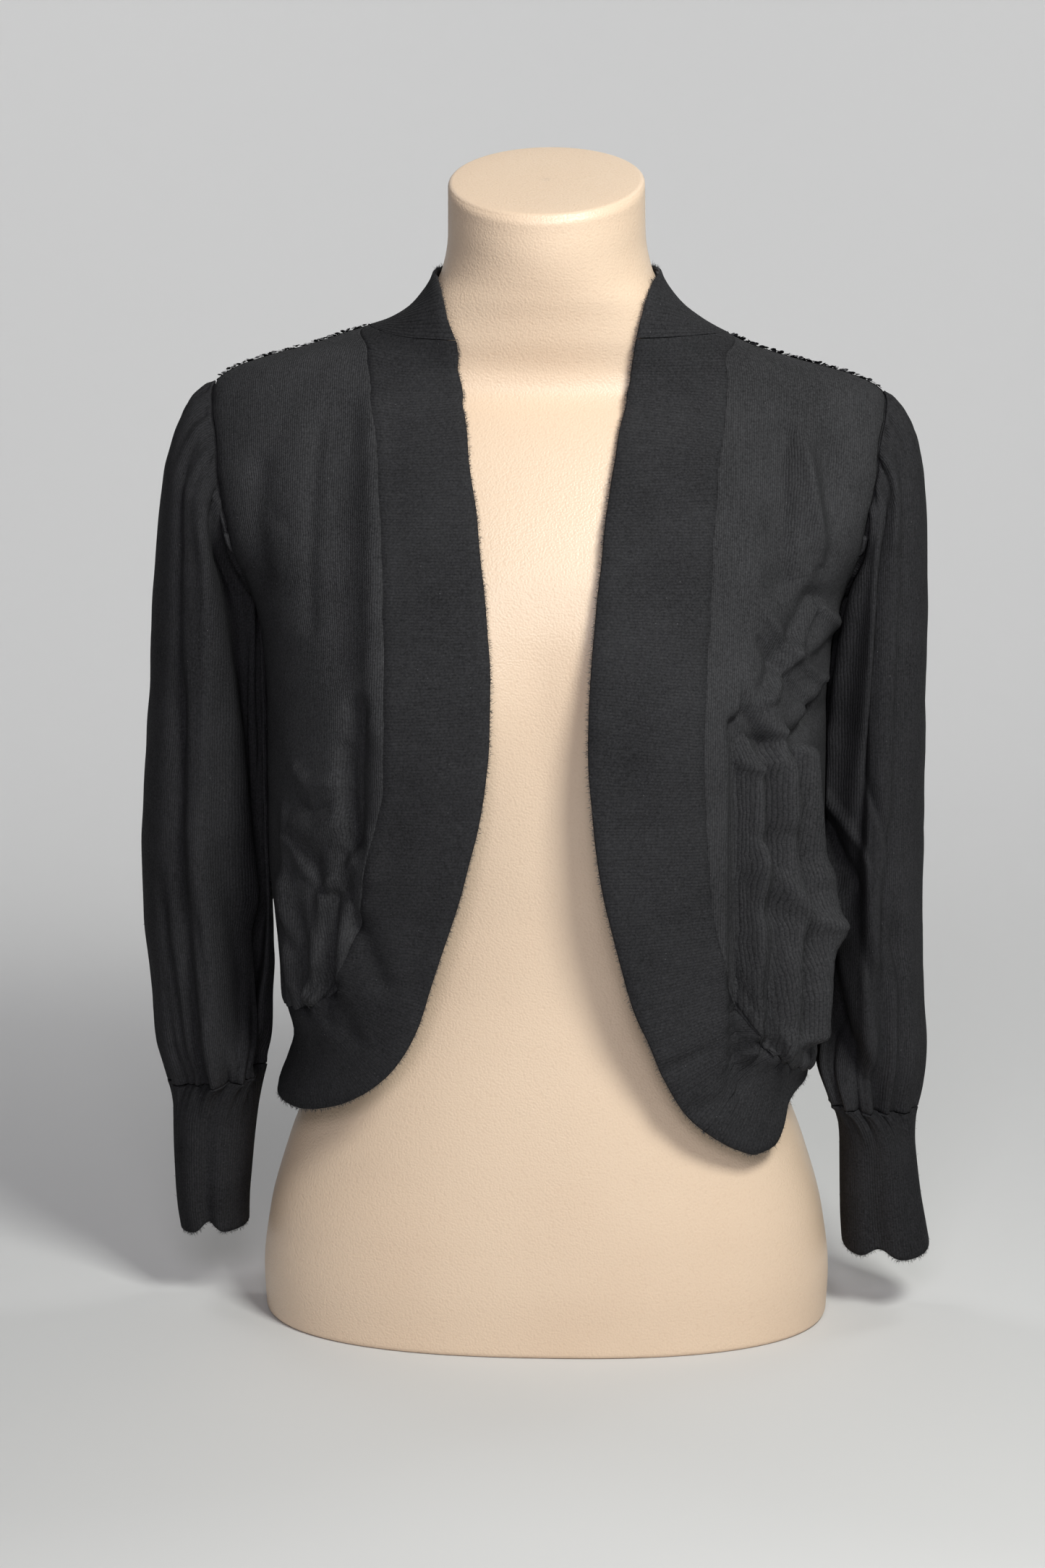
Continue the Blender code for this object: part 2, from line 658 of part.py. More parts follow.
def gather(grid, rows):
    """Add the small pleats where a panel is gathered into the hem band."""
    run = np.concatenate([[0], np.cumsum(np.linalg.norm(np.diff(grid[-1], axis=0), axis=1))])
    fall = np.linalg.norm(grid - grid[-1:], axis=-1)
    wave = np.cos(2 * math.pi * run / GATHER_PITCH)[None, :] * np.exp(-fall / GATHER_REACH)
    normal = grid_normal(grid)
    fade = smooth(np.minimum(run, run[-1] - run) / 14)[None, :]
    return grid + normal * (GATHER_RISE * wave * fade)[..., None]


def grid_normal(grid):
    """Outward unit normal at every point of a grid."""
    down = np.gradient(grid, axis=0)
    across = np.gradient(grid, axis=1)
    normal = np.cross(down, across)
    normal = normal / np.maximum(np.linalg.norm(normal, axis=-1, keepdims=True), 1e-9)
    middle = grid.mean(axis=(0, 1))
    out = np.array([middle[0], middle[1], 0.0])
    return normal if (normal * out).sum(-1).mean() > 0 else -normal


def side_inset(grid):
    """Move a panel's outer column in, more where the sleeve turns away."""
    grid = grid.copy()
    way = grid[:, -2] - grid[:, -1]
    way = way / np.linalg.norm(way, axis=-1, keepdims=True)
    amount = np.full(len(grid), SEAM_GAP / 2)
    amount[:ARMHOLE_STEPS + 1] = 0.7
    grid[:, -1] = grid[:, -1] + way * amount[:, None]
    return grid


def ring_frame(row, sign):
    """Centre, long half axis and depths of one sleeve ring."""
    outer = np.array([sign * row[0], 0, row[1]])
    inner = np.array([sign * row[2], 0, row[3]])
    return (outer + inner) / 2, (outer - inner) / 2, -row[4], row[5]


def sleeve_grid(side):
    """Grid of a sleeve, rings from the armhole down to the cuff."""
    top = np.concatenate([halve(side.place(*side.armhole_front.T)),
                          halve(side.place(*side.armhole_back.T))[::-1][1:-1]])
    table = side.sleeve
    rows = np.linspace(0, len(table) - 1, SLEEVE_STEPS + 1)
    index = np.arange(len(table))
    around = len(top)
    angle = 2 * math.pi * np.arange(around) / around
    rings = []
    centre, axis, front, back = ring_frame(table[0], side.sign)
    length = np.linalg.norm(axis)
    along0 = ((top - centre) @ axis) / length ** 2
    depth0 = top[:, 1]
    off = top - centre - along0[:, None] * axis
    off[:, 1] = 0
    for k, place in enumerate(rows):
        row = [float(through(place, index, table[:, c])) for c in range(6)]
        centre, axis, front, back = ring_frame(row, side.sign)
        w = 1 - np.clip(1 - place / 4.5, 0, 1) ** 1.6
        depth = np.where(np.sin(angle) > 0, -front, back)
        round_y = depth * np.abs(np.sin(angle)) ** 0.9
        along = (1 - w) * along0 + w * np.cos(angle)
        start = depth0 * (1 + 0.5 * w)
        y = (1 - w) * start + w * round_y
        ring = centre + along[:, None] * axis + (1 - w) * off
        lean = np.where(y < 0, SLEEVE_LEAN * y / front, 0.3 * SLEEVE_LEAN * y / back)
        ring[:, 0] = ring[:, 0] + side.sign * lean * w
        ring[:, 1] = y
        rings.append(ring)
    grid = np.array(rings)
    under = smooth(0.1 - np.cos(angle) / 0.8)[:, None]
    away = top - np.array([0, 4.0, 0])
    away[:, 2] = 0
    away = away / np.linalg.norm(away, axis=1, keepdims=True)
    grid[0] = grid[0] + np.array([side.sign * 1.1, 0, 0]) * (1 - under) + 2.3 * away * under
    grid = crease_sleeve(grid, side, angle)
    grid[1:] = keep_off(grid[1:], side.sign)
    return grid


def keep_off(grid, sign):
    """Keep a sleeve clear of the body beside it."""
    half, front, back, centre, power = section(DRAPE, grid[..., 2])
    depth = np.where(grid[..., 1] < centre, front, back)
    share = np.clip(np.abs(grid[..., 1] - centre) / depth, 0, 1)
    wall = half * (1 - share ** power) ** (1 / power)
    angle = np.degrees(np.arcsin(share ** (power / 2)))
    hole = through(grid[..., 2], ARMHOLE[::-1, 0], ARMHOLE[::-1, 1])
    ease = 8 * (1 - smooth((angle - hole) / 8 + 1.1))
    ease = np.where(grid[..., 2] > ARMHOLE[-1, 0], ease, 0)
    least = wall + SLEEVE_CLEAR - ease
    out = grid.copy()
    out[..., 0] = sign * np.maximum(np.abs(grid[..., 0]), least)
    return out


def halve(points):
    """Add the middle of every step of a line."""
    middle = (points[1:] + points[:-1]) / 2
    out = np.empty((2 * len(points) - 1, 3))
    out[0::2] = points
    out[1::2] = middle
    return out


def crease_sleeve(grid, side, angle):
    """Press the creases and the cuff gathers into a sleeve."""
    rings, around = grid.shape[:2]
    share = np.linspace(0, 1, rings)
    centre = grid.mean(axis=1, keepdims=True)
    normal = tube_normal(grid)
    size = np.linalg.norm(grid - centre, axis=-1).mean(axis=1)
    height = np.zeros((rings, around))
    for row in side.crease:
        t = np.clip((share - row[3]) / (row[4] - row[3]), 0, 1)
        place = np.interp(t, (0, 0.5, 1), row[:3])
        target = np.arccos(np.clip(2 * place - 1, -0.98, 0.98)) * row[5]
        turn = (angle[None, :] - target[:, None] + math.pi) % (2 * math.pi) - math.pi
        arc = turn * size[:, None]
        width = np.where(arc * row[5] > 0, row[7], row[8])
        past = np.maximum(np.maximum(row[3] - share, share - row[4]), 0)
        fade = np.exp(-(past / 0.035) ** 2) * smooth(share / 0.24)
        height = height + row[6] * np.exp(-(arc / width) ** 2) * fade[:, None]
    reach = np.exp(-((1 - share) / SLEEVE_GATHER_REACH) ** 2)
    wave = np.cos(SLEEVE_GATHERS * angle + 0.6)
    height = height + SLEEVE_GATHER_RISE * reach[:, None] * wave[None, :]
    inside = smooth((np.cos(angle)[None, :] + 1.0) / 0.5)
    height = np.where(height > 0, height * (0.25 + 0.75 * inside), height)
    return grid + normal * height[..., None]


def tube_normal(grid):
    """Outward normal of a tube of rings."""
    across = np.roll(grid, -1, axis=1) - np.roll(grid, 1, axis=1)
    down = np.gradient(grid, axis=0)
    normal = np.cross(down, across)
    normal = normal / np.maximum(np.linalg.norm(normal, axis=-1, keepdims=True), 1e-9)
    out = grid - grid.mean(axis=1, keepdims=True)
    return normal if (normal * out).sum(-1).mean() > 0 else -normal


def cuff_grid(side, top):
    """Grid of a cuff, hung from the last ring of its sleeve."""
    table = side.cuff
    rows = np.linspace(0, len(table) - 1, CUFF_STEPS + 1)
    index = np.arange(len(table))
    around = len(top)
    angle = 2 * math.pi * np.arange(around) / around
    rings = []
    for place in rows:
        row = [float(through(place, index, table[:, c])) for c in range(6)]
        centre, axis, front, back = ring_frame(row, side.sign)
        depth = np.where(np.sin(angle) > 0, -front, back)
        ring = centre + np.cos(angle)[:, None] * axis
        ring[:, 1] = depth * np.abs(np.sin(angle)) ** 0.85
        w = smooth(place / (len(table) - 1))
        for across, face, rise, width in side.cuff_crease:
            target = math.acos(2 * across - 1) * face
            turn = (angle - target + math.pi) % (2 * math.pi) - math.pi
            press = np.exp(-(turn * 25 / width) ** 2)
            ring[:, 1] = ring[:, 1] - np.sign(ring[:, 1]) * -rise * press * (0.3 + 0.7 * w)
            ring[:, 2] = ring[:, 2] + CUFF_NOTCH * press * w ** 4
        ring[:, 2] = ring[:, 2] - side.cuff_sag * w ** 3 * np.maximum(np.sin(angle), 0) ** 0.7
        rings.append(ring)
    grid = np.array(rings)
    drop = np.array([0, 0, -1.3])
    pull = smooth(1 - rows / 1.6)[:, None, None]
    return grid * (1 - pull) + (top + drop) * pull


def back_panel(right, left):
    """Grid of the back, from the neck seam and ridges down to the hem."""
    count = NECK_STEPS
    neck = neck_seam(count)
    left_side = np.concatenate([left.armhole_back, left.side_seam[1:]])
    right_side = np.concatenate([right.armhole_back, right.side_seam[1:]])
    left_line = left_side.copy()
    right_line = np.stack([360 - right_side[:, 0], right_side[:, 1]], -1)
    left_ridge = left.ridge[::-1]
    right_ridge = np.stack([360 - right.ridge[:, 0], right.ridge[:, 1]], -1)
    top = np.concatenate([left_ridge, neck[1:-1], right_ridge])
    bottom = hem_seam_back(left, right, len(top) - 1)
    flat = coons(left_line, right_line, top, bottom, 180.0)
    grid = body_point(flat[..., 0], flat[..., 1])
    grid = draw_in(grid, (0, SEAM_GAP / 2, 0, 0))
    ridge_rows = np.full(grid.shape[1], 0.6)
    ridge_rows[RIDGE_STEPS + 1:-RIDGE_STEPS - 1] = SEAM_GAP / 2
    way = grid[1] - grid[0]
    way = way / np.linalg.norm(way, axis=-1, keepdims=True)
    grid[0] = grid[0] + way * ridge_rows[:, None]
    grid = side_inset(grid)
    return side_inset(grid[:, ::-1])


def neck_seam(count):
    """Seam of the neck band on the back, from the left ridge to the right."""
    angle = np.array([90.0, 125.0, 180.0, 235.0, 270.0])
    z = np.array([RIDGE_NECK_Z, 565.5, NECK_SEAM_BACK_Z, 565.5, RIDGE_NECK_Z])
    return spread(np.stack([angle, z], -1), count, body_point)


def hem_seam_back(left, right, count):
    """Seam of the hem band on the back, from the left side to the right."""
    angle = np.array([90.0, 135.0, 180.0, 225.0, 270.0])
    z0, z1 = left.hem_seam[-1, 1], right.hem_seam[-1, 1]
    z = np.array([z0, z0 * 0.8 + z1 * 0.2 + 3, (z0 + z1) / 2 + 4, z0 * 0.2 + z1 * 0.8 + 3, z1])
    return spread(np.stack([angle, z], -1), count, body_point)


def hem_band(right, left):
    """Grid of the hem band across the back."""
    seam = hem_seam_back(left, right, 2 * RIDGE_STEPS + NECK_STEPS)
    z0, z1 = left.edge[-1, 1], right.edge[-1, 1]
    low = through(seam[:, 0], (90, 112, 135, 180, 225, 270), (z0, 130, 121, 124, 129, z1))
    edge = np.stack([seam[:, 0], low], -1)
    s = np.linspace(0, 1, BAND_STEPS + 1)[None, :, None]
    flat = seam[:, None, :] * (1 - s) + edge[:, None, :] * s
    grid = body_point(flat[..., 0], flat[..., 1])
    return draw_in(grid, (SEAM_GAP / 2, SEAM_GAP / 2, SEAM_GAP / 2, 0))


def neck_band(right, left):
    """Grid of the neck band, from the left front round the back."""
    seam = neck_seam(NECK_STEPS)
    share = np.concatenate([[0, 0.3, 0.6], np.arange(1, NECK_STEPS),
                            [NECK_STEPS - 0.6, NECK_STEPS - 0.3, NECK_STEPS]])
    line = body_point(seam[:, 0], seam[:, 1])
    whole = np.arange(NECK_STEPS + 1)
    real = np.stack([np.interp(share, whole, line[:, k]) for k in range(3)], -1)
    flat = np.stack([np.interp(share, whole, seam[:, k]) for k in range(2)], -1)
    rise = np.array([(float(angle_of(x, z)), z) for x, z in NECK_EDGE])
    behind = np.concatenate([NECK_EDGE_BACK, (NECK_EDGE_BACK * [-1, 1] + [360, 0])[-2::-1]])
    path = np.concatenate([[left.edge[0]], rise, behind, (rise * [-1, 1] + [360, 0])[::-1],
                           [right.edge[0] * [-1, 1] + [360, 0]]])
    edge = spread(path, len(share) - 1, body_point)
    s = np.linspace(0, 1, BAND_STEPS + 1)[None, :, None]
    where = flat[:, None, :] * (1 - s) + edge[:, None, :] * s
    grid = body_point(where[..., 0], where[..., 1])
    grid[:, 0] = real
    return draw_in(grid, (0.5, 0.5, SEAM_GAP / 2, 0))


def make_material(name, colour, roughness):
    """Plain material of one slot."""
    material = bpy.data.materials.new(name)
    material.use_nodes = True
    shader = material.node_tree.nodes["Principled BSDF"]
    shader.inputs["Base Color"].default_value = (*colour, 1)
    shader.inputs["Roughness"].default_value = roughness
    return material


def grid_faces(rows, columns, closed):
    """Quads between the points of a grid; a tube's columns wrap round."""
    faces = []
    last = columns if closed else columns - 1
    for i in range(rows - 1):
        for j in range(last):
            k = (j + 1) % columns
            faces.append((i * columns + j, (i + 1) * columns + j,
                          (i + 1) * columns + k, i * columns + k))
    return faces


def add_object(name, points, faces, material, collection):
    """Put one mesh in the scene with its faces outwards."""
    mesh = bpy.data.meshes.new(name)
    mesh.from_pydata([tuple(p) for p in np.asarray(points) * MM], [], faces)
    mesh.materials.append(material)
    obj = bpy.data.objects.new(name, mesh)
    collection.objects.link(obj)
    return obj


def bake(obj):
    """Turn an object's modifiers into its mesh."""
    graph = bpy.context.evaluated_depsgraph_get()
    mesh = bpy.data.meshes.new_from_object(obj.evaluated_get(graph))
    obj.modifiers.clear()
    old = obj.data
    obj.data = mesh
    bpy.data.meshes.remove(old)
    mesh.name = obj.name
    face_out(mesh)


def face_out(mesh):
    """Point every face outwards and split the quads."""
    bm = bmesh.new()
    bm.from_mesh(mesh)
    bmesh.ops.recalc_face_normals(bm, faces=bm.faces)
    bmesh.ops.triangulate(bm, faces=bm.faces)
    bm.to_mesh(mesh)
    bm.free()


def settle(grid):
    """Lift the wearer's right shoulder, which sits a little higher."""
    lift = smooth((grid[..., 2] - 500) / 50) * smooth((-grid[..., 0] - 75) / 45)
    out = grid.copy()
    out[..., 2] = out[..., 2] + RIGHT_LIFT * lift
    return out


def add_wall(name, grid, closed, wall, material, collection):
    """Give a grid of points its thickness."""
    grid = settle(grid)
    rows, columns = grid.shape[:2]
    points = grid.reshape(-1, 3)
    obj = add_object(name, points, grid_faces(rows, columns, closed), material, collection)
    solid = obj.modifiers.new("wall", "SOLIDIFY")
    solid.thickness = wall * MM
    solid.offset = 0
    bake(obj)
    return obj


def add_form(material, collection):
    """Build the dress form as one closed loft with a flat base."""
    angle = np.arange(FORM_AROUND) * 360 / FORM_AROUND
    rings = []
    for z in FORM_RINGS:
        rings.append(form_point(even_angles(angle, z), np.full(FORM_AROUND, float(z))))
    grid = np.array(rings)
    faces = grid_faces(len(FORM_RINGS), FORM_AROUND, True)
    faces.append(tuple(range(FORM_AROUND)))
    top = (len(FORM_RINGS) - 1) * FORM_AROUND
    faces.append(tuple(range(top + FORM_AROUND - 1, top - 1, -1)))
    obj = add_object("form", grid.reshape(-1, 3), faces, material, collection)
    face_out(obj.data)
    return obj


def even_angles(angle, z):
    """Angles whose points are evenly spread round a ring of the form."""
    fine = np.linspace(0, 360, 721)
    point = form_point(fine, np.full(721, float(z)))
    run = np.concatenate([[0], np.cumsum(np.linalg.norm(np.diff(point, axis=0), axis=1))])
    return np.interp(angle / 360 * run[-1], run, fine)


def main():
    """Build every piece of the shrug and its form."""
    for obj in list(bpy.data.objects):
        bpy.data.objects.remove(obj)
    collection = bpy.data.collections.new("knitted_shrug_on_form")
    bpy.context.scene.collection.children.link(collection)
    knit = make_material("fine_knit", CLOTH_COLOUR, 0.9)
    rib = make_material("rib_knit", RIB_COLOUR, 0.9)
    sequin = make_material("sequin_back", BACK_COLOUR, 0.45)
    skin = make_material("form_plastic", FORM_COLOUR, 0.5)
    right = Side(-1, BAND_RIGHT, CORNER_RIGHT, SLEEVE_RIGHT, CREASE_RIGHT, CUFF_RIGHT,
                 CUFF_CREASE_RIGHT, CUFF_SAG_RIGHT)
    left = Side(1, BAND_LEFT, CORNER_LEFT, SLEEVE_LEFT, CREASE_LEFT, CUFF_LEFT,
                CUFF_CREASE_LEFT, CUFF_SAG_LEFT)
    add_form(skin, collection)
    add_wall("back_panel", back_panel(right, left), False, PANEL_WALL, sequin, collection)
    add_wall("band_neck", neck_band(right, left), False, RIB_WALL, rib, collection)
    add_wall("band_hem_back", hem_band(right, left), False, RIB_WALL, rib, collection)
    for side, label in ((right, "right"), (left, "left")):
        add_wall("front_" + label, side.front_panel(), False, PANEL_WALL, knit, collection)
        add_wall("band_front_" + label, side.front_band(), False, RIB_WALL, rib, collection)
        tube = sleeve_grid(side)
        add_wall("sleeve_" + label, tube, True, SLEEVE_WALL, knit, collection)
        add_wall("cuff_" + label, cuff_grid(side, tube[-1]), True, CUFF_WALL, rib, collection)


main()
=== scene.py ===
"""Looks of a knitted shrug on a limbless dress form.

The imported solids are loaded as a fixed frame, and each piece of cloth is made
again as a thin, finer shell on the form of its solid: two fronts, a back
covered with sequins, rib bands round the opening, two sleeves and two cuffs.
The tables hold millimetres, which become metres as a mesh is made. The front
faces -Y, the wearer's left is at +X and the base of the form is at z = 0.
"""

import logging
import math
from dataclasses import dataclass, field, replace
from enum import Enum

import bpy
import numpy as np
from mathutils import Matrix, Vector
from numpy.typing import NDArray

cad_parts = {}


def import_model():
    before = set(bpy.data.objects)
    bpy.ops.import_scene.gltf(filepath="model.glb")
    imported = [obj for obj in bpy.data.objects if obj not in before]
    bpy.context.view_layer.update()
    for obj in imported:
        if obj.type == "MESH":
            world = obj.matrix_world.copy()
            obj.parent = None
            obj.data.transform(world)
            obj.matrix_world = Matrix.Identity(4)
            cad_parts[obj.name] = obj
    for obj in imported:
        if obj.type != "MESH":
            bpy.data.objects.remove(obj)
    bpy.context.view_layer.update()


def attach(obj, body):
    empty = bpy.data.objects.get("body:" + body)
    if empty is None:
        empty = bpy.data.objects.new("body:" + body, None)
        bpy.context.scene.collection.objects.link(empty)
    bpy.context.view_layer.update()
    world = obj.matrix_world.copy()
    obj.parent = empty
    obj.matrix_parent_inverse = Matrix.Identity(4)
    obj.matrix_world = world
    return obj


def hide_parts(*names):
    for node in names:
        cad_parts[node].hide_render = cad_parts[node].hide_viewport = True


Array = NDArray[np.float64]
Colour = tuple[float, float, float]
Place = tuple[float, float, float]
Object = bpy.types.Object
Node = bpy.types.Node
Socket = bpy.types.NodeSocket

MM = 0.001
LOG = logging.getLogger("shrug")
SEAM_STEPS = 240

# Sections of the form: z, half width, depth ahead and behind, centre, exponent.
FORM = np.array([
    (0, 166, 104, 108, 0, 2.4),
    (25, 167, 104, 109, 0, 2.4),
    (60, 163, 101, 106, 0, 2.4),
    (100, 152, 96, 98, 0, 2.3),
    (140, 137, 91, 88, 0, 2.3),
    (175, 125, 87, 81, 0, 2.3),
    (205, 120, 85, 78, 0, 2.3),
    (240, 121, 86, 80, 0, 2.3),
    (280, 128, 90, 87, 0, 2.3),
    (320, 137, 93, 94, 0, 2.3),
    (360, 144, 94, 99, 0, 2.3),
    (400, 149, 92, 102, 0, 2.3),
    (430, 155, 87, 102, 0, 2.3),
    (460, 166, 79, 99, 2, 2.3),
    (485, 176, 70, 90, 4, 2.3),
    (508, 182, 60, 80, 6, 2.25),
    (524, 180, 50, 71, 7, 2.15),
    (533, 173, 44, 65, 8, 2.1),
    (540, 159, 41, 61, 8, 2.0),
    (547, 137, 41, 60, 8, 1.9),
    (555, 113, 43, 59, 7, 1.85),
    (564, 100, 47, 57, 6, 1.85),
    (576, 84.4, 50, 55.3, 4, 1.9),
    (590, 69.2, 53.3, 53.5, 1, 2.0),
    (606, 59.2, 54, 52, -3, 2.0),
    (625, 55.5, 54, 52, -7, 2.0),
    (655, 55, 54, 52, -12, 2.0),
])
# Sections of the smooth cloth on the form, in the same columns.
DRAPE = np.array([
    (80, 154, 106, 112, 0, 2.4),
    (120, 156, 110, 110, 0, 2.4),
    (150, 154, 113, 108, 0, 2.4),
    (175, 152, 115, 106, 0, 2.4),
    (205, 154, 117, 105, 0, 2.4),
    (240, 158, 119, 105, 0, 2.4),
    (280, 160, 121, 106, 0, 2.4),
    (320, 160, 121, 107, 0, 2.4),
    (360, 160, 118, 109, 0, 2.35),
    (400, 163, 108, 110, 0, 2.3),
    (425, 170, 98, 110, 0, 2.3),
    (450, 184, 90, 108, 1, 2.3),
    (475, 193, 80, 103, 3, 2.3),
    (500, 197, 69, 94, 5, 2.25),
    (518, 197, 60, 84, 7, 2.15),
    (530, 194, 53, 76, 8, 2.1),
    (537, 190, 49, 71, 8, 2.0),
    (543, 181, 46, 67, 8, 1.95),
    (549, 164, 45, 65, 8, 1.9),
    (556, 138, 46, 64, 7, 1.85),
    (562, 119, 48, 63, 7, 1.85),
    (569, 103, 51, 61, 6, 1.85),
    (577, 88, 54, 60, 4, 1.9),
    (588, 74, 57, 58, 2, 1.95),
    (604, 63.5, 58, 56, -2, 2.0),
    (625, 60, 58, 56, -7, 2.0),
    (650, 60, 58, 56, -12, 2.0),
])
# Armhole, from the shoulder to the underarm: z, degrees round from the side.
ARMHOLE = np.array([
    (537, 0), (532, 8), (522, 15), (500, 20), (470, 20), (447, 15), (430, 8), (420, 0),
])
# Front bands, from the neck to the side seam: x and z of the free edge, x and z
# of the seam. An x of 999 lies on the side.
BAND_RIGHT = np.array([
    (49.5, 566, 999, 570),
    (48.4, 556, 100.5, 558),
    (46.5, 541, 97.5, 541),
    (44.5, 526, 94.2, 521),
    (40, 495.5, 90, 494),
    (35.4, 471, 87.8, 470),
    (32.5, 446, 86, 446),
    (28.4, 413, 84.4, 412),
    (26.0, 383, 82.8, 380),
    (26.3, 351, 82.2, 348),
    (28.2, 330, 83, 326),
    (32.5, 304, 87.5, 304),
    (36.9, 287, 92, 286),
    (42.6, 265, 97, 263),
    (51.5, 238, 102.5, 240),
    (60, 212, 109, 221),
    (66, 193, 115, 209),
    (74.3, 176, 121, 202),
    (85.7, 161, 127.5, 196),
    (102, 148, 134.5, 191.5),
    (119, 139, 142, 188.5),
    (137, 133.5, 147.5, 187),
    (999, 131, 999, 186),
])
BAND_LEFT = np.array([
    (51.5, 567, 999, 570),
    (50, 557, 101, 558),
    (48.5, 547, 101.5, 546),
    (46.5, 534, 101, 531),
    (43.5, 520, 99, 513),
    (38.4, 487, 96, 490),
    (35.4, 463, 94.2, 463),
    (32.8, 434, 93.1, 434),
    (31, 413, 92.3, 410),
    (29.3, 389, 91, 384),
    (28.3, 364, 90, 357),
    (28.4, 339, 90, 335),
    (30.6, 313, 91, 312),
    (32.8, 292, 92.3, 291),
    (36.3, 270, 93.8, 270),
    (41.4, 248, 96, 250),
    (47, 226, 100.5, 231),
    (53.6, 203, 106, 214),
    (62.3, 183, 111, 199),
    (71, 162, 116, 186),
    (82, 143, 120.5, 177),
    (95, 130, 125, 171),
    (111, 119, 129.5, 166.5),
    (123, 114, 133.5, 163),
    (133, 116, 137.5, 160),
    (138.5, 125, 142, 157.5),
    (141, 137, 146, 155.5),
    (147, 143.5, 150.5, 154.5),
    (999, 146, 999, 154),
])
# Width added at the sides: z, width.
SIDE_RIGHT = np.array([
    (120, 2), (136, 1), (150, -3), (165, -6), (180, -3), (192, 0), (235, -1), (270, 0),
    (420, 0),
])
SIDE_LEFT = np.array([
    (120, -2), (145, -2), (153, 0), (162, 4), (178, 6), (195, 6), (215, 5), (240, 1),
    (270, 0), (420, 0),
])
# Folds of the front: x and z of the top, middle and bottom, rise, and the width
# on each of the fold's two sides.
FRONT_FOLDS = np.array([
    (-159, 494, -161, 465, -159, 436, -2.0, 9, 9),
    (-113, 523, -110, 455, -109, 390, -2.0, 12, 12),
    (-95, 528, -91, 450, -88, 360, 1.8, 7, 7),
    (-99, 367, -101, 335, -101, 297, -4.6, 7, 7),
    (-84, 350, -86, 318, -93, 275, 1.4, 8, 7),
    (-126, 282, -123, 240, -119, 212, -2.4, 6, 6),
    (-108, 285, -108, 262, -103, 246, -2.6, 6, 6),
    (-136, 299, -124, 296, -111, 303, 1.8, 6, 6),
    (-144, 262, -141, 230, -136, 204, 2.4, 7, 7),
    (-98, 248, -93, 232, -87, 216, -1.8, 6, 6),
    (-116, 206, -111, 195, -104, 182, -1.6, 7, 7),
    (131, 514, 129, 475, 131, 434, -2.6, 9, 8),
    (140, 504, 148, 476, 155, 457, 2.4, 8, 8),
    (158, 507, 159, 478, 157, 448, -2.4, 8, 7),
    (150, 424, 137, 402, 122, 380, -3.0, 7, 7),
    (160, 412, 152, 402, 138, 394, 2.0, 7, 7),
    (163, 384, 147, 370, 139, 357, 2.0, 6, 6),
    (162, 364, 150, 356, 140, 354, -2.4, 6, 6),
    (117, 382, 124, 367, 130, 352, 3.0, 8, 8),
    (115, 352, 122, 349, 132, 346, -3.2, 8, 8),
    (118, 336, 120, 320, 122, 304, 2.0, 6, 6),
    (131, 337, 133, 322, 134, 307, 2.0, 6, 6),
    (120, 281, 132, 262, 152, 236, 3.6, 8, 9),
    (109, 360, 109, 285, 110, 160, -6.0, 5, 12),
    (104, 352, 103, 285, 105, 172, 1.6, 7, 4),
    (127, 243, 129, 215, 129, 186, 4.6, 9, 9),
    (147, 268, 149, 225, 147, 178, 4.0, 8, 8),
    (129, 173, 140, 166, 151, 158, 2.0, 6, 6),
    (71, 170, 82, 173, 92, 178, -1.2, 5, 5),
    (86, 145, 98, 146, 109, 150, -1.2, 5, 5),
])
# Folds of the back, in the same columns.
BACK_FOLDS = np.array([
    (-120, 520, -112, 430, -104, 330, -2.2, 13, 12),
    (118, 515, 112, 440, 108, 345, -2.4, 12, 13),
    (-46, 420, -50, 300, -62, 190, -3.4, 14, 12),
    (-18, 360, -16, 270, -22, 185, 2.6, 12, 12),
    (44, 400, 40, 290, 52, 185, -3.2, 12, 14),
    (14, 330, 18, 250, 15, 185, -2.2, 10, 11),
    (-104, 300, -100, 240, -108, 190, 2.8, 12, 12),
    (96, 310, 98, 240, 104, 180, 3.0, 12, 12),
    (130, 300, 134, 240, 128, 180, -2.6, 10, 10),
    (-132, 320, -136, 250, -131, 195, -2.4, 10, 10),
])
# Rings of the sleeves, from the armhole down: x and z of the outer end, x and z
# of the inner end, y of the front, y of the back.
SLEEVE_RIGHT = np.array([
    (191.5, 537.5, 171, 421, -25, 41),
    (203, 530, 168.3, 417.5, -33, 46),
    (213, 514, 167.3, 413, -40, 49),
    (219.5, 494, 166.6, 407, -44, 51),
    (223, 468, 165.8, 399, -46, 52),
    (226, 438, 165.3, 388, -47, 52),
    (228.5, 404, 164.8, 372, -47, 51),
    (230.5, 368, 164.4, 350, -46, 50),
    (233.5, 332, 163.8, 322, -45, 49),
    (236, 296, 163.3, 292, -44, 48),
    (237, 262, 162.3, 262, -43, 47),
    (236.5, 231, 161.3, 234, -42, 46),
    (234, 203, 160.8, 208, -41, 45),
    (231, 178, 162.3, 183, -39, 43),
    (227, 155, 163.5, 160, -36, 40),
    (222, 133, 166.5, 141, -31, 35),
])
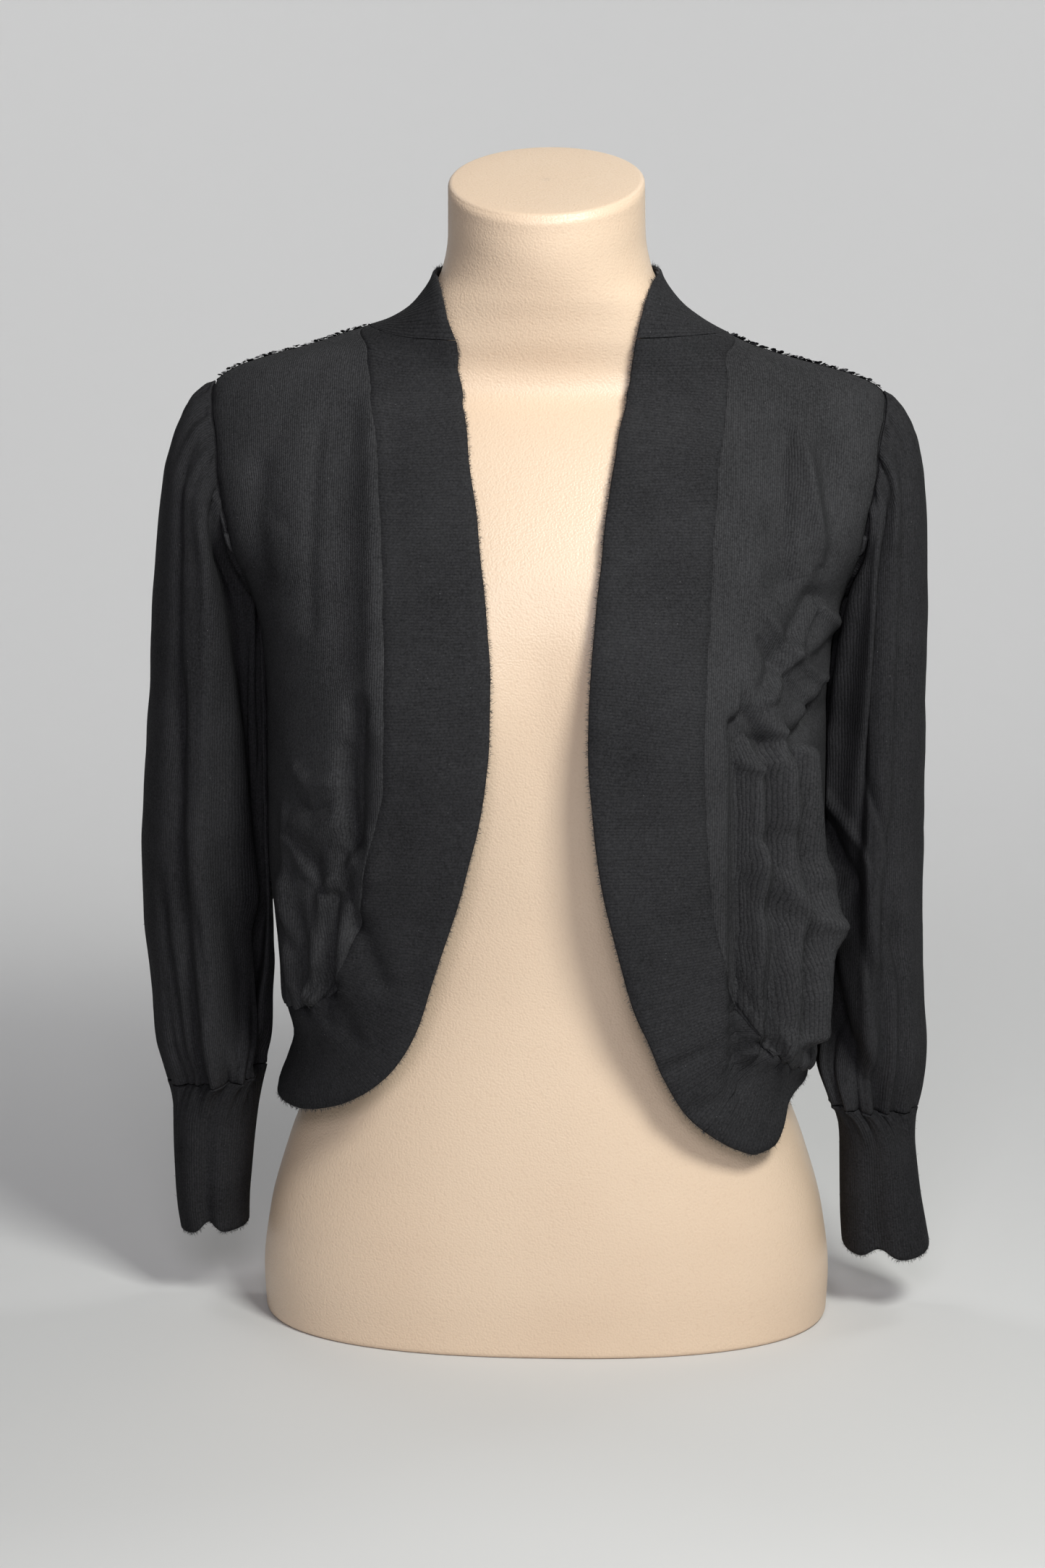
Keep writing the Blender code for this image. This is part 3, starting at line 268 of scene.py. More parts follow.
SLEEVE_LEFT = np.array([
    (191.5, 537.5, 171, 421, -25, 41),
    (201, 528, 167.3, 417.5, -33, 46),
    (209, 512, 166.5, 413, -40, 49),
    (213.5, 492, 166, 407, -44, 51),
    (215.5, 466, 165.5, 399, -46, 52),
    (216.5, 436, 165.1, 388, -47, 52),
    (217, 402, 164.7, 372, -47, 51),
    (217, 366, 164.5, 350, -46, 50),
    (217.5, 330, 164.3, 322, -45, 49),
    (217.5, 294, 164, 291, -44, 48),
    (217.5, 260, 163.5, 260, -43, 47),
    (218, 228, 163, 231, -42, 46),
    (219, 198, 162.6, 202, -42, 44),
    (219.5, 170, 162.5, 176, -40, 42),
    (218, 146, 161, 152, -36, 39),
    (215, 122, 168, 130, -30, 33),
])
# Creases of the sleeves: place across at the top, middle and bottom, from 0 at
# the inner end to 1 at the outer, start and end as shares of the length, side
# (1 front, -1 back), rise, and the width on each of the crease's two sides.
CREASE_RIGHT = np.array([
    (0.56, 0.27, 0.10, 0.05, 0.97, 1, -12.0, 16, 5),
    (0.12, 0.06, 0.02, 0.16, 0.97, 1, -9.0, 14, 14),
    (0.76, 0.69, 0.74, 0.47, 0.97, 1, -4.0, 6, 8),
    (0.34, 0.20, 0.12, 0.05, 0.60, 1, -2.4, 9, 7),
    (0.24, 0.15, 0.10, 0.22, 0.52, 1, 1.6, 3, 3),
    (0.58, 0.44, 0.34, 0.02, 0.26, 1, -2.4, 3, 4),
    (0.88, 0.80, 0.76, 0.10, 0.50, 1, -1.8, 5, 6),
    (0.44, 0.36, 0.40, 0.66, 0.99, 1, -2.6, 4, 5),
    (0.60, 0.54, 0.50, 0.74, 1.00, 1, -2.4, 4, 4),
    (0.86, 0.84, 0.82, 0.72, 1.00, 1, -2.2, 4, 4),
    (0.74, 0.48, 0.36, 0.05, 0.60, 1, 2.6, 9, 8),
    (0.62, 0.58, 0.50, 0.62, 0.98, 1, 2.6, 8, 8),
    (0.56, 0.50, 0.44, 0.04, 0.60, -1, -5.0, 9, 9),
    (0.28, 0.34, 0.30, 0.45, 0.97, -1, -4.4, 8, 8),
    (0.78, 0.72, 0.66, 0.40, 0.95, -1, -3.6, 8, 8),
])
CREASE_LEFT = np.array([
    (0.46, 0.28, 0.14, 0.05, 0.62, 1, -7.0, 9, 4),
    (0.88, 0.82, 0.76, 0.08, 0.74, 1, -7.0, 3.5, 14),
    (0.64, 0.58, 0.44, 0.03, 0.66, 1, -6.0, 3.5, 11),
    (0.56, 0.50, 0.44, 0.02, 0.22, 1, 1.8, 3, 3),
    (0.16, 0.33, 0.52, 0.54, 0.64, 1, 2.8, 3, 3),
    (0.14, 0.30, 0.48, 0.57, 0.68, 1, -3.0, 3, 4),
    (0.52, 0.38, 0.24, 0.62, 0.74, 1, 2.4, 3, 3),
    (0.40, 0.34, 0.30, 0.28, 0.50, 1, 2.0, 3, 4),
    (0.82, 0.78, 0.74, 0.02, 0.24, 1, 1.8, 3, 3),
    (0.50, 0.66, 0.80, 0.54, 0.64, 1, -2.0, 3, 4),
    (0.70, 0.72, 0.70, 0.68, 1.00, 1, -3.0, 4, 6),
    (0.88, 0.86, 0.84, 0.74, 1.00, 1, -2.6, 4, 4),
    (0.40, 0.22, 0.26, 0.25, 0.70, 1, 3.2, 7, 7),
    (0.26, 0.44, 0.62, 0.62, 0.80, 1, -4.4, 7, 7),
    (0.18, 0.34, 0.56, 0.78, 0.95, 1, -5.0, 7, 7),
    (0.20, 0.30, 0.42, 0.68, 0.86, 1, 3.4, 7, 7),
    (0.05, 0.32, 0.62, 0.80, 0.93, 1, -3.4, 9, 7),
    (0.54, 0.48, 0.40, 0.05, 0.58, -1, -5.0, 9, 9),
    (0.34, 0.40, 0.36, 0.50, 0.96, -1, -4.6, 8, 8),
    (0.76, 0.70, 0.74, 0.30, 0.92, -1, -3.8, 8, 8),
])
# Rings of the cuffs, in the columns of the sleeves.
CUFF_RIGHT = np.array([
    (221.5, 131, 167.0, 139, -30, 34),
    (220.5, 118, 171, 124, -27, 30),
    (220.5, 98, 174.5, 100, -25, 27),
    (220, 76, 177, 76, -24, 26),
    (219, 58, 178.5, 60, -24, 26),
    (217, 44, 179, 46, -24, 26),
])
CUFF_LEFT = np.array([
    (214.5, 120, 168.5, 128, -29, 32),
    (215.5, 106, 173.5, 112, -27, 29),
    (217.5, 88, 174, 92, -26, 28),
    (220, 70, 174.5, 72, -26, 28),
    (223, 54, 175, 56, -26, 28),
    (225.5, 41, 176, 42, -26, 28),
])
# Small creases of the front, in the columns of its folds.
FRONT_CREASES = np.array([
    (145, 502, 150, 474, 154, 446, 1.5, 3, 4),
    (134, 513, 135, 474, 136, 436, -1.0, 4, 4),
    (165, 384, 153, 366, 142, 349, -2.8, 3, 3),
    (150, 419, 138, 396, 125, 373, 2.8, 4, 2.6),
    (155, 419, 160, 411, 165, 403, 1.8, 3, 3),
    (124, 416, 139, 394, 152, 380, 2.0, 2.6, 4),
    (121, 404, 134, 383, 150, 362, -2.0, 3, 3),
    (106, 354, 118, 348, 132, 351, -2.2, 4, 4),
    (109, 341, 117, 336, 126, 338, 1.8, 3, 3),
    (109, 360, 110, 284, 113, 168, -3.2, 3, 2),
    (117, 348, 120, 270, 119, 172, 4.4, 4.5, 2.2),
    (124, 346, 128, 262, 126, 176, -3.4, 2.2, 3),
    (131, 352, 136, 262, 133, 174, 4.8, 5.0, 2.4),
    (120, 292, 136, 258, 149, 243, 1.8, 4, 2.6),
    (139, 340, 144, 262, 141, 180, -3.4, 2.2, 3),
    (146, 340, 152, 262, 148, 178, 4.6, 4.5, 2.4),
    (-140, 290, -133, 279, -126, 268, 1.5, 4, 2.6),
    (-103, 283, -110, 275, -117, 269, 1.2, 3, 3),
    (-122, 260, -124, 228, -128, 200, 2.2, 4, 2.6),
    (-148, 248, -137, 223, -134, 192, -1.8, 3, 3),
    (-114, 262, -116, 222, -120, 188, -2.2, 3, 3),
    (-143, 306, -143, 262, -141, 206, 1.1, 4, 2.6),
    (-106, 256, -108, 232, -111, 208, 1.8, 4, 2.6),
    (-126, 517, -128, 464, -128, 410, -1.0, 5, 5),
    (-108, 346, -107, 320, -104, 292, -1.8, 3, 4),
    (-136, 250, -133, 228, -128, 205, -1.4, 3, 4),
    (-150, 470, -140, 462, -126, 460, -0.5, 4, 5),
    (-136, 330, -128, 322, -116, 326, 0.9, 4, 4),
    (-133, 312, -127, 308, -118, 312, -0.8, 3, 3),
    (-92, 300, -90, 290, -90, 276, 0.8, 4, 4),
    (-130, 262, -128, 240, -124, 222, 0.9, 4, 4),
    (134, 520, 138, 505, 141, 490, -0.7, 4, 4),
    (150, 446, 145, 436, 139, 430, 0.9, 4, 4),
    (158, 398, 150, 392, 142, 390, -0.9, 4, 4),
    (113, 372, 118, 364, 124, 358, 0.9, 4, 4),
    (120, 196, 128, 182, 138, 174, 1.0, 4, 4),
    (60, 240, 62, 232, 66, 226, -0.4, 4, 4),
    (-66, 252, -66, 232, -66, 208, -0.6, 5, 5),
])


def through(at: Array, rows_at: Array, rows_value: Array) -> Array:
    """Smooth curve through table rows that never swings past them.

    Each span is a cubic whose end slopes are the harmonic mean of the slopes
    of the spans beside it, or zero where those differ in sign.

    Args:
        at: Places to read the curve at.
        rows_at: Place of each row, rising.
        rows_value: Value of each row.

    Returns:
        The value at each place.
    """
    x, y = np.asarray(rows_at, float), np.asarray(rows_value, float)
    at = np.clip(np.asarray(at, float), x[0], x[-1])
    step = np.diff(x)
    slope = np.diff(y) / step
    tangent = np.empty(len(x))
    tangent[0], tangent[-1] = slope[0], slope[-1]
    same = slope[:-1] * slope[1:] > 0
    total = np.where(same, slope[:-1] + slope[1:], 1.0)
    tangent[1:-1] = np.where(same, 2 * slope[:-1] * slope[1:] / total, 0.0)
    i = np.clip(np.searchsorted(x, at, side="right") - 1, 0, len(x) - 2)
    t = (at - x[i]) / step[i]
    value = (1 + 2 * t) * (1 - t) ** 2 * y[i] + t * t * (3 - 2 * t) * y[i + 1]
    value += t * (1 - t) ** 2 * step[i] * tangent[i] + t * t * (t - 1) * step[i] * tangent[i + 1]
    return value


def smooth(t: Array) -> Array:
    """Rise from 0 to 1 with level ends: t squared times (3 - 2t)."""
    t = np.clip(t, 0, 1)
    return t * t * (3 - 2 * t)


def unit(vectors: Array) -> Array:
    """Scale vectors to length 1."""
    return vectors / np.maximum(np.linalg.norm(vectors, axis=-1, keepdims=True), 1e-9)


def run_of(line: Array) -> Array:
    """Running length along a line of points."""
    return np.concatenate([[0.0], np.cumsum(np.linalg.norm(np.diff(line, axis=0), axis=1))])


def fall_of(grid: Array, axis: int = 0) -> Array:
    """Running length of every line of a grid along one axis."""
    step = np.diff(grid, axis=axis, prepend=np.take(grid, [0], axis=axis))
    return np.cumsum(np.linalg.norm(step, axis=-1), axis=axis)


def read(line: Array, place: Array) -> Array:
    """Read rows of points at fractional row numbers, straight between rows."""
    rows = np.arange(len(line))
    return np.stack([np.interp(place, rows, line[:, k]) for k in range(line.shape[1])], -1)


def grid_corners(rows: int, columns: int) -> list[tuple[Array, Array]]:
    """Row and column of the four corners of each square of a grid."""
    i, j = (index.ravel() for index in np.meshgrid(np.arange(rows), np.arange(columns), indexing="ij"))
    return [(i, j), (i + 1, j), (i + 1, j + 1), (i, j + 1)]


def ripple(u: Array, v: Array, reach: float, seed: int) -> Array:
    """Slow unevenness of about -1 to 1: twice the mean of eight sine waves.

    Args:
        u: First place, millimetres.
        v: Second place, millimetres.
        reach: Length of a typical wave, millimetres.
        seed: Picks the directions and starts of the waves.

    Returns:
        The height at each place.
    """
    rng = np.random.default_rng(seed)
    total = np.zeros(np.broadcast(u, v).shape)
    for _ in range(8):
        turn, start = rng.uniform(0, 2 * math.pi, 2)
        pace = 2 * math.pi / (reach * rng.uniform(0.6, 1.7))
        total = total + np.sin(pace * (u * math.cos(turn) + v * math.sin(turn)) + start)
    return total / 4


@dataclass(frozen=True)
class Sections:
    """Cross sections of a body, each a row of z, half width, front, back, centre, exponent."""

    rows: Array

    def at(self, z: Array) -> list[Array]:
        """Read the five values of the section at each height."""
        return [through(z, self.rows[:, 0], self.rows[:, k]) for k in range(1, 6)]


@dataclass(frozen=True)
class Torso:
    """The dress form: a loft of flattened ovals with a bust and a tipped neck."""

    sections: Sections = field(default_factory=lambda: Sections(FORM))
    bust_x: float = 78.0
    bust_z: float = 365.0
    bust_wide: float = 42.0
    bust_high: float = 48.0
    bust_rise: float = 26.0
    neck_lean: float = math.radians(22)
    lean_from: float = 580.0
    lean_to: float = 650.0
    around: int = 144
    along: int = 170
    rim: float = 3.0
    rim_reach: float = 12.0

    def bust(self, x: Array, z: Array, rise: float) -> Array:
        """How far two bell-shaped mounds stand out at a place of the front."""
        across = ((np.abs(x) - self.bust_x) / self.bust_wide) ** 2
        return rise * np.exp(-across - ((z - self.bust_z) / self.bust_high) ** 2)

    def front_depth(self, x: Array, z: Array) -> Array:
        """Distance of the front surface ahead of the middle plane."""
        half, front, _, centre, power = self.sections.at(z)
        s = np.clip(np.abs(x) / half, 0, 1)
        return front * (1 - s ** power) ** (1 / power) + self.bust(x, z, self.bust_rise) - centre

    def tilt(self, y: Array, z: Array) -> Array:
        """Height after the rings of the neck are tipped forward."""
        lean = smooth((z - self.lean_from) / (self.lean_to - self.lean_from))
        centre = through(z, self.sections.rows[:, 0], self.sections.rows[:, 4])
        return z + (y - centre) * math.tan(self.neck_lean) * lean

    def ring(self, sections: Sections, angle: Array, z: Array, rise: float) -> tuple[Array, Array]:
        """Point of a flattened oval whose front and back depths differ.

        Args:
            sections: The sections to read.
            angle: 0 at the front centre, 90 at the wearer's left side.
            z: Height.
            rise: How far the bust stands out.

        Returns:
            Its x and y.
        """
        half, front, back, centre, power = sections.at(z)
        sine, cosine = np.sin(np.radians(angle)), np.cos(np.radians(angle))
        x = half * np.sign(sine) * np.abs(sine) ** (2 / power)
        depth = np.where(cosine > 0, front, back) * np.abs(cosine) ** (2 / power)
        y = centre - np.sign(cosine) * depth
        return x, y - np.where(cosine > 0, self.bust(x, z, rise), 0)

    def point(self, angle: Array, z: Array) -> Array:
        """Point of the form's surface."""
        x, y = self.ring(self.sections, angle, z, self.bust_rise)
        return np.stack([x, y, self.tilt(y, z)], -1)

    def grid(self) -> Array:
        """Rings of the form, closed over the rounded rims of the base and the neck.

        Returns:
            Rings of points, from the base up.
        """
        low, high = self.sections.rows[0, 0], self.sections.rows[-1, 0]
        z = np.linspace(low, high, self.along)
        fine = np.linspace(0, 360, 721)
        rings = []
        for height in z:
            line = self.point(fine, np.full(len(fine), height))
            run = run_of(line)
            turn = np.interp(np.arange(self.around) / self.around * run[-1], run, fine)
            rings.append(self.point(turn, np.full(self.around, height)))
        body = np.array(rings)
        bend = np.linspace(0, math.pi / 2, 7)[1:]
        top = self.cap(body[-1], bend, 1.0)
        base = self.cap(body[0], bend, -1.0)
        body[:, :, 2] += self.rim * smooth(1 - z / self.rim_reach)[:, None]
        body[:, :, 2] -= self.rim * smooth((z - high + self.rim_reach) / self.rim_reach)[:, None]
        return np.concatenate([base[::-1], body, top])

    def cap(self, ring: Array, bend: Array, way: float) -> Array:
        """Quarter-round rim and flat end over a ring.

        The rim moves in by rim times (1 - cosine) and out by rim times sine,
        then rings shrink to the middle.

        Args:
            ring: The last ring of the body.
            bend: Angles of the quarter round, rising.
            way: 1 at the top, -1 at the base.

        Returns:
            The rings past the given one.
        """
        middle = ring.mean(axis=0)
        inward = unit(middle - ring)
        plane = np.linalg.svd(ring - middle)[2][2]
        plane = plane * math.copysign(1.0, plane[2]) * way
        round_in = inward[None] * (self.rim * (1 - np.cos(bend)))[:, None, None]
        round_up = plane * (self.rim * (np.sin(bend) - 1))[:, None, None]
        edge = ring[None] + round_in + round_up
        shrink = np.array([0.8, 0.55, 0.3, 0.08, 0.0])[:, None, None]
        return np.concatenate([edge, middle + (edge[-1][None] - middle) * shrink])


@dataclass(frozen=True)
class Arc:
    """Running length round the smooth cloth at a set of heights."""

    torso: Torso
    sections: Sections
    bust_rise: float
    z_low: float = 80.0
    z_high: float = 652.0
    z_step: float = 4.0
    angle_step: float = 1.5
    halvings: int = 26

    def __post_init__(self) -> None:
        """Work the table of lengths out once."""
        z = np.arange(self.z_low, self.z_high, self.z_step)[:, None]
        angle = np.arange(0.0, 361.0, self.angle_step)[None, :]
        x, y = self.torso.ring(self.sections, angle, z + 0 * angle, self.bust_rise)
        step = np.hypot(np.diff(x, axis=1), np.diff(y, axis=1))
        table = np.concatenate([np.zeros((len(z), 1)), np.cumsum(step, axis=1)], axis=1)
        object.__setattr__(self, "table", table)

    def length(self, angle: Array, z: Array) -> Array:
        """Length from the front centre to an angle, by blending the table both ways.

        Args:
            angle: 0 at the front centre, 90 at the wearer's left side.
            z: Height.

        Returns:
            The length round the smooth cloth.
        """
        rows, columns = self.table.shape
        a = np.clip((z - self.z_low) / self.z_step, 0, rows - 1.001)
        b = np.clip(angle / self.angle_step, 0, columns - 1.001)
        i, j = a.astype(int), b.astype(int)
        a, b = a - i, b - j
        low = self.table[i, j] * (1 - b) + self.table[i, j + 1] * b
        high = self.table[i + 1, j] * (1 - b) + self.table[i + 1, j + 1] * b
        return low * (1 - a) + high * a

    def angle(self, length: Array, z: Array) -> Array:
        """Angle at a length, by halving the span that holds it again and again.

        Args:
            length: Length from the front centre.
            z: Height.

        Returns:
            The angle.
        """
        low, high = np.zeros(np.shape(length)), np.full(np.shape(length), 360.0)
        for _ in range(self.halvings):
            middle = (low + high) / 2
            short = self.length(middle, z) < length
            low, high = np.where(short, middle, low), np.where(short, high, middle)
        return (low + high) / 2

    def fill(self, left: Array, right: Array, top: Array, bottom: Array, start: float) -> Array:
        """Fill the area between four lines of (angle, z) points.

        In (length from start, z) the area is the blend of left to right, plus
        the blend of top to bottom, less the blend of the four corners.

        Args:
            left: Line down one side.
            right: Line down the other side, with as many points.
            top: Line from the first point of left to that of right.
            bottom: Line from the last point of left to that of right.
            start: Angle that lengths are counted from.

        Returns:
            Grid of (angle, z), rows from top to bottom.
        """
        flat = []
        for line in (left, right, top, bottom):
            angle, z = line.T
            run = self.length(angle, z) - self.length(np.full(len(line), start), z)
            flat.append(np.stack([run, z], -1))
        left, right, top, bottom = flat
        v = np.linspace(0, 1, len(left))[:, None, None]
        u = np.linspace(0, 1, len(top))[None, :, None]
        blend = (1 - u) * left[:, None, :] + u * right[:, None, :]
        blend = blend + (1 - v) * top[None, :, :] + v * bottom[None, :, :]
        blend = blend - (1 - u) * (1 - v) * top[0] - u * (1 - v) * top[-1]
        blend = blend - (1 - u) * v * bottom[0] - u * v * bottom[-1]
        run = blend[..., 0] + self.length(np.full(blend.shape[:2], start), blend[..., 1])
        return np.stack([self.angle(run, blend[..., 1]), blend[..., 1]], -1)


@dataclass(frozen=True)
class Cloth:
    """The garment's body as it hangs on the form, folds included."""

    torso: Torso = field(default_factory=Torso)
    sections: Sections = field(default_factory=lambda: Sections(DRAPE))
    bust_rise: float = 8.0
    clear: float = 3.2
    folds_end: float = 548.0
    right_lift: float = 6.5
    fold_gain: float = 1.75
    crease_gain: float = 2.0
    slack: float = 0.22
    slack_reach: float = 26.0
    side_from: float = 0.55
    front_room: float = 14.0
    back_room: float = 9.0

    def side_shift(self, x: Array, z: Array) -> Array:
        """Width added at the sides, fading in over the outer half of the front."""
        shift = np.where(x < 0, through(z, *SIDE_RIGHT.T), through(z, *SIDE_LEFT.T))
        share = np.abs(x) / self.sections.at(z)[0]
        return np.sign(x) * shift * smooth((share - self.side_from) / (1 - self.side_from))

    def base(self, angle: Array, z: Array) -> Array:
        """Point of the smooth cloth: its oval, pushed out where the form is in the way.

        Args:
            angle: 0 at the front centre, 90 at the wearer's left side.
            z: Height.

        Returns:
            Its x, y and z.
        """
        x, y = self.torso.ring(self.sections, angle, z, self.bust_rise)
        x = x + self.side_shift(x, z)
        over = -self.torso.front_depth(x, z) - self.clear
        closer = np.minimum(y, over) - 1.5 * np.exp(-np.abs(y - over) / 3.0)
        front = np.cos(np.radians(angle)) > 0
        narrow = np.abs(x) < self.torso.sections.at(z)[0] * 0.97
        y = np.where(front & narrow, closer, y)
        return np.stack([x, y, self.torso.tilt(y, z)], -1)

    def folds(self, x: Array, z: Array, table: Array) -> Array:
        """Height of a table's folds: rise * exp(-(distance / width) squared) for each.

        Args:
            x: Place across.
            z: Height.
            table: Rows of folds.

        Returns:
            The sum of the folds, fading out below the shoulder ridge.
        """
        height = np.zeros(np.shape(x))
        for row in table:
            gap, past = line_distance(x, z, row)
            height = height + row[6] * np.exp(-(gap / np.where(past > 0, row[8], row[7])) ** 2)
        return height * smooth((self.folds_end - z) / 30)

    def point(self, angle: Array, z: Array) -> Array:
        """Point of the folded cloth, moved from the smooth one along its normal.

        Troughs stop at a share of the room between the cloth and the form.

        Args:
            angle: 0 at the front centre, 90 at the wearer's left side.
            z: Height.

        Returns:
            Its x, y and z.
        """
        angle, z = np.asarray(angle, float), np.asarray(z, float)
        base = self.base(angle, z)
        ahead = self.base(angle + 0.6, z) - self.base(angle - 0.6, z)
        above = self.base(angle, z + 0.8) - self.base(angle, z - 0.8)
        normal = unit(np.cross(ahead, above))
        side = np.cos(np.radians(angle))
        x = base[..., 0]
        height = np.where(side > 0, self.folds(x, z, FRONT_FOLDS), self.folds(x, z, BACK_FOLDS))
        height = self.fold_gain * height + self.slack * ripple(x, z, self.slack_reach, 5)
        fade = smooth(np.abs(side) / 0.30)
        room = np.where(side > 0, self.clearance(base), self.back_room)
        height = np.maximum(height * fade, -0.45 * room)
        fine = np.where(side > 0, self.folds(x, z, FRONT_CREASES), 0)
        height = np.maximum(height + self.crease_gain * fine * fade, -0.6 * room)
        return base + normal * height[..., None]

    def clearance(self, point: Array) -> Array:
        """How far a point of the front stands out from the form, up to front_room."""
        free = -point[..., 1] - self.torso.front_depth(point[..., 0], point[..., 2])
        inside = np.abs(point[..., 0]) < self.torso.sections.at(point[..., 2])[0] * 0.9
        return np.clip(np.where(inside, free, self.front_room), 0, self.front_room)

    def angle_of(self, x: Array, z: Array) -> Array:
        """Angle whose distance from the middle is x."""
        half, _, _, _, power = self.sections.at(z)
        return np.degrees(np.arcsin(np.clip(np.abs(x) / half, 0, 1) ** (power / 2)))

    def settle(self, grid: Array) -> Array:
        """Lift the wearer's right shoulder, which sits a little higher."""
        out = grid.copy()
        lift = smooth((grid[..., 2] - 500) / 50) * smooth((-grid[..., 0] - 75) / 45)
        out[..., 2] += self.right_lift * lift
        return out

    def spread(self, points: Array, count: int, sign: float = 1.0) -> Array:
        """Points of a smooth line of (angle, z), evenly spaced on the cloth.

        Args:
            points: Rows of the line.
            count: Number of steps.
            sign: -1 to measure the line on the wearer's right.

        Returns:
            One point more than the steps.
        """
        fine = np.linspace(0, len(points) - 1, 40 * len(points))
        path = curve(points, fine)
        run = run_of(self.point(sign * path[:, 0], path[:, 1]))
        want = np.linspace(0, run[-1], count + 1)
        return np.stack([np.interp(want, run, path[:, k]) for k in range(2)], -1)


def curve(points: Array, place: Array) -> Array:
    """Smooth line through rows of points, read at fractional row numbers."""
    rows = np.arange(len(points))
    return np.stack([through(place, rows, points[:, k]) for k in range(points.shape[1])], -1)


def line_distance(x: Array, z: Array, row: Array) -> tuple[Array, Array]:
    """Distance to a line of two straight spans, and on which side of it a point lies.

    Args:
        x: Place across.
        z: Height.
        row: Starts with x and z of the top, middle and bottom of the line.

    Returns:
        The distance, and a value whose sign tells the side.
    """
    best = np.full(np.shape(x), 1e9)
    side = np.zeros(np.shape(x))
    for k in (0, 2):
        ax, az, bx, bz = row[k:k + 4]
        length = math.hypot(bx - ax, bz - az)
        ux, uz = (bx - ax) / length, (bz - az) / length
        along = np.clip((x - ax) * ux + (z - az) * uz, 0, length)
        gap = np.hypot(x - ax - along * ux, z - az - along * uz)
        nearer = gap < best
        best = np.where(nearer, gap, best)
        side = np.where(nearer, (z - az) * ux - (x - ax) * uz, side)
    return best, side


@dataclass
class Shell:
    """A closed wall of cloth round a grid of middle points, with a rounded rim.

    Attributes:
        name: Name of the piece.
        middle: Rows by columns of middle points, millimetres.
        cloth: Place on the knitted cloth of each point, millimetres; a tube has
            one column more than middle, for the far side of its join.
        wall: Thickness.
        tube: Whether the columns wrap round.
        raised: Height added to the outside.
        bulge: How far the rim stands out, as a share of the wall.
    """

    name: str
    middle: Array
    cloth: Array
    wall: float
    tube: bool = False
    raised: Array | float = 0.0
    bulge: float = 0.36

    def normal(self) -> Array:
        """Outward normal: the cross product of the ways down and across.

        Returns:
            One unit vector for each middle point.
        """
        down = np.gradient(self.middle, axis=0)
        if self.tube:
            across = np.roll(self.middle, -1, axis=1) - np.roll(self.middle, 1, axis=1)
        else:
            across = np.gradient(self.middle, axis=1)
        return unit(np.cross(down, across))

    def outward(self, normal: Array) -> bool:
        """Whether the normals already point away from the middle of the body or tube.

        Args:
            normal: The normals.

        Returns:
            True if they do.
        """
        if self.tube:
            out = self.middle - self.middle.mean(axis=1, keepdims=True)
        else:
            out = self.middle * [1, 1, 0]
        return bool((normal * out).sum(-1).mean() > 0)

    def build(self) -> Object:
        """Make the outside, the inside and the rim between them as one mesh.

        Outside and inside are the middle points moved by half the wall along the
        normal. Each free edge gets a line of points between the two, moved out of
        the cloth, and quads that join it to both.

        Returns:
            The shell's object.
        """
        rows, columns = self.middle.shape[:2]
        normal = self.normal()
        kept = self.outward(normal)
        normal = normal if kept else -normal
        raised = np.asarray(self.raised, float) * np.ones((rows, columns))
        outer = self.middle + normal * (self.wall / 2 + raised)[..., None]
        inner = self.middle - normal * self.wall / 2
        wide = columns + 1 if self.tube else columns
        corner = grid_corners(rows - 1, wide - 1)
        count = rows * columns
        face = np.stack([a * columns + b % columns for a, b in corner], -1)
        place = np.stack([a * wide + b for a, b in corner], -1)
        faces, places = [face, face[:, ::-1] + count], [place, place[:, ::-1]]
        points = [outer.reshape(-1, 3), inner.reshape(-1, 3)]
        base = 2 * count
        for loop in self.loops(rows, wide):
            a, b = loop[:-1], loop[1:]
            row, column = loop[:, 0], loop[:, 1] % columns
            near = row * columns + column
            beside = column if self.tube else np.clip(column, 1, columns - 2)
            edge = self.middle[row, column]
            way = unit(edge - self.middle[np.clip(row, 1, rows - 2), beside])
            half = raised[row, column] / 2
            rim = edge + way * self.wall * self.bulge + normal[row, column] * half[:, None]
            points.append(rim[:-1])
            n = len(a)
            k = np.arange(n)
            ra, rb = base + k, base + (k + 1) % n
            oa, ob = near[:-1], near[1:]
            pa, pb = a[:, 0] * wide + a[:, 1], b[:, 0] * wide + b[:, 1]
            faces += [np.stack([ob, oa, ra, rb], -1), np.stack([rb, ra, oa + count, ob + count], -1)]
            places += [np.stack([pb, pa, pa, pb], -1), np.stack([pb, pa, pa, pb], -1)]
            base += n
        face, place = np.concatenate(faces), np.concatenate(places)
        if not kept:
            face, place = face[:, ::-1], place[:, ::-1]
        return make_object(self.name, np.concatenate(points), face, self.cloth.reshape(-1, 2)[place])

    def loops(self, rows: int, wide: int) -> list[Array]:
        """Closed lines of (row, column) round the free edges, in the faces' own order.

        Args:
            rows: Rows of the grid.
            wide: Its columns, and one more for a tube.

        Returns:
            One line for a sheet, two for a tube.
        """
        across, down = np.arange(wide), np.arange(rows)
        if self.tube:
            top = np.stack([0 * across, across[::-1]], -1)
            return [top, np.stack([0 * across + rows - 1, across], -1)]
        left = np.stack([down, 0 * down], -1)[:-1]
        bottom = np.stack([0 * across + rows - 1, across], -1)[:-1]
        right = np.stack([down[::-1], 0 * down + wide - 1], -1)[:-1]
        top = np.stack([0 * across, across[::-1]], -1)
        return [np.concatenate([left, bottom, right, top])]


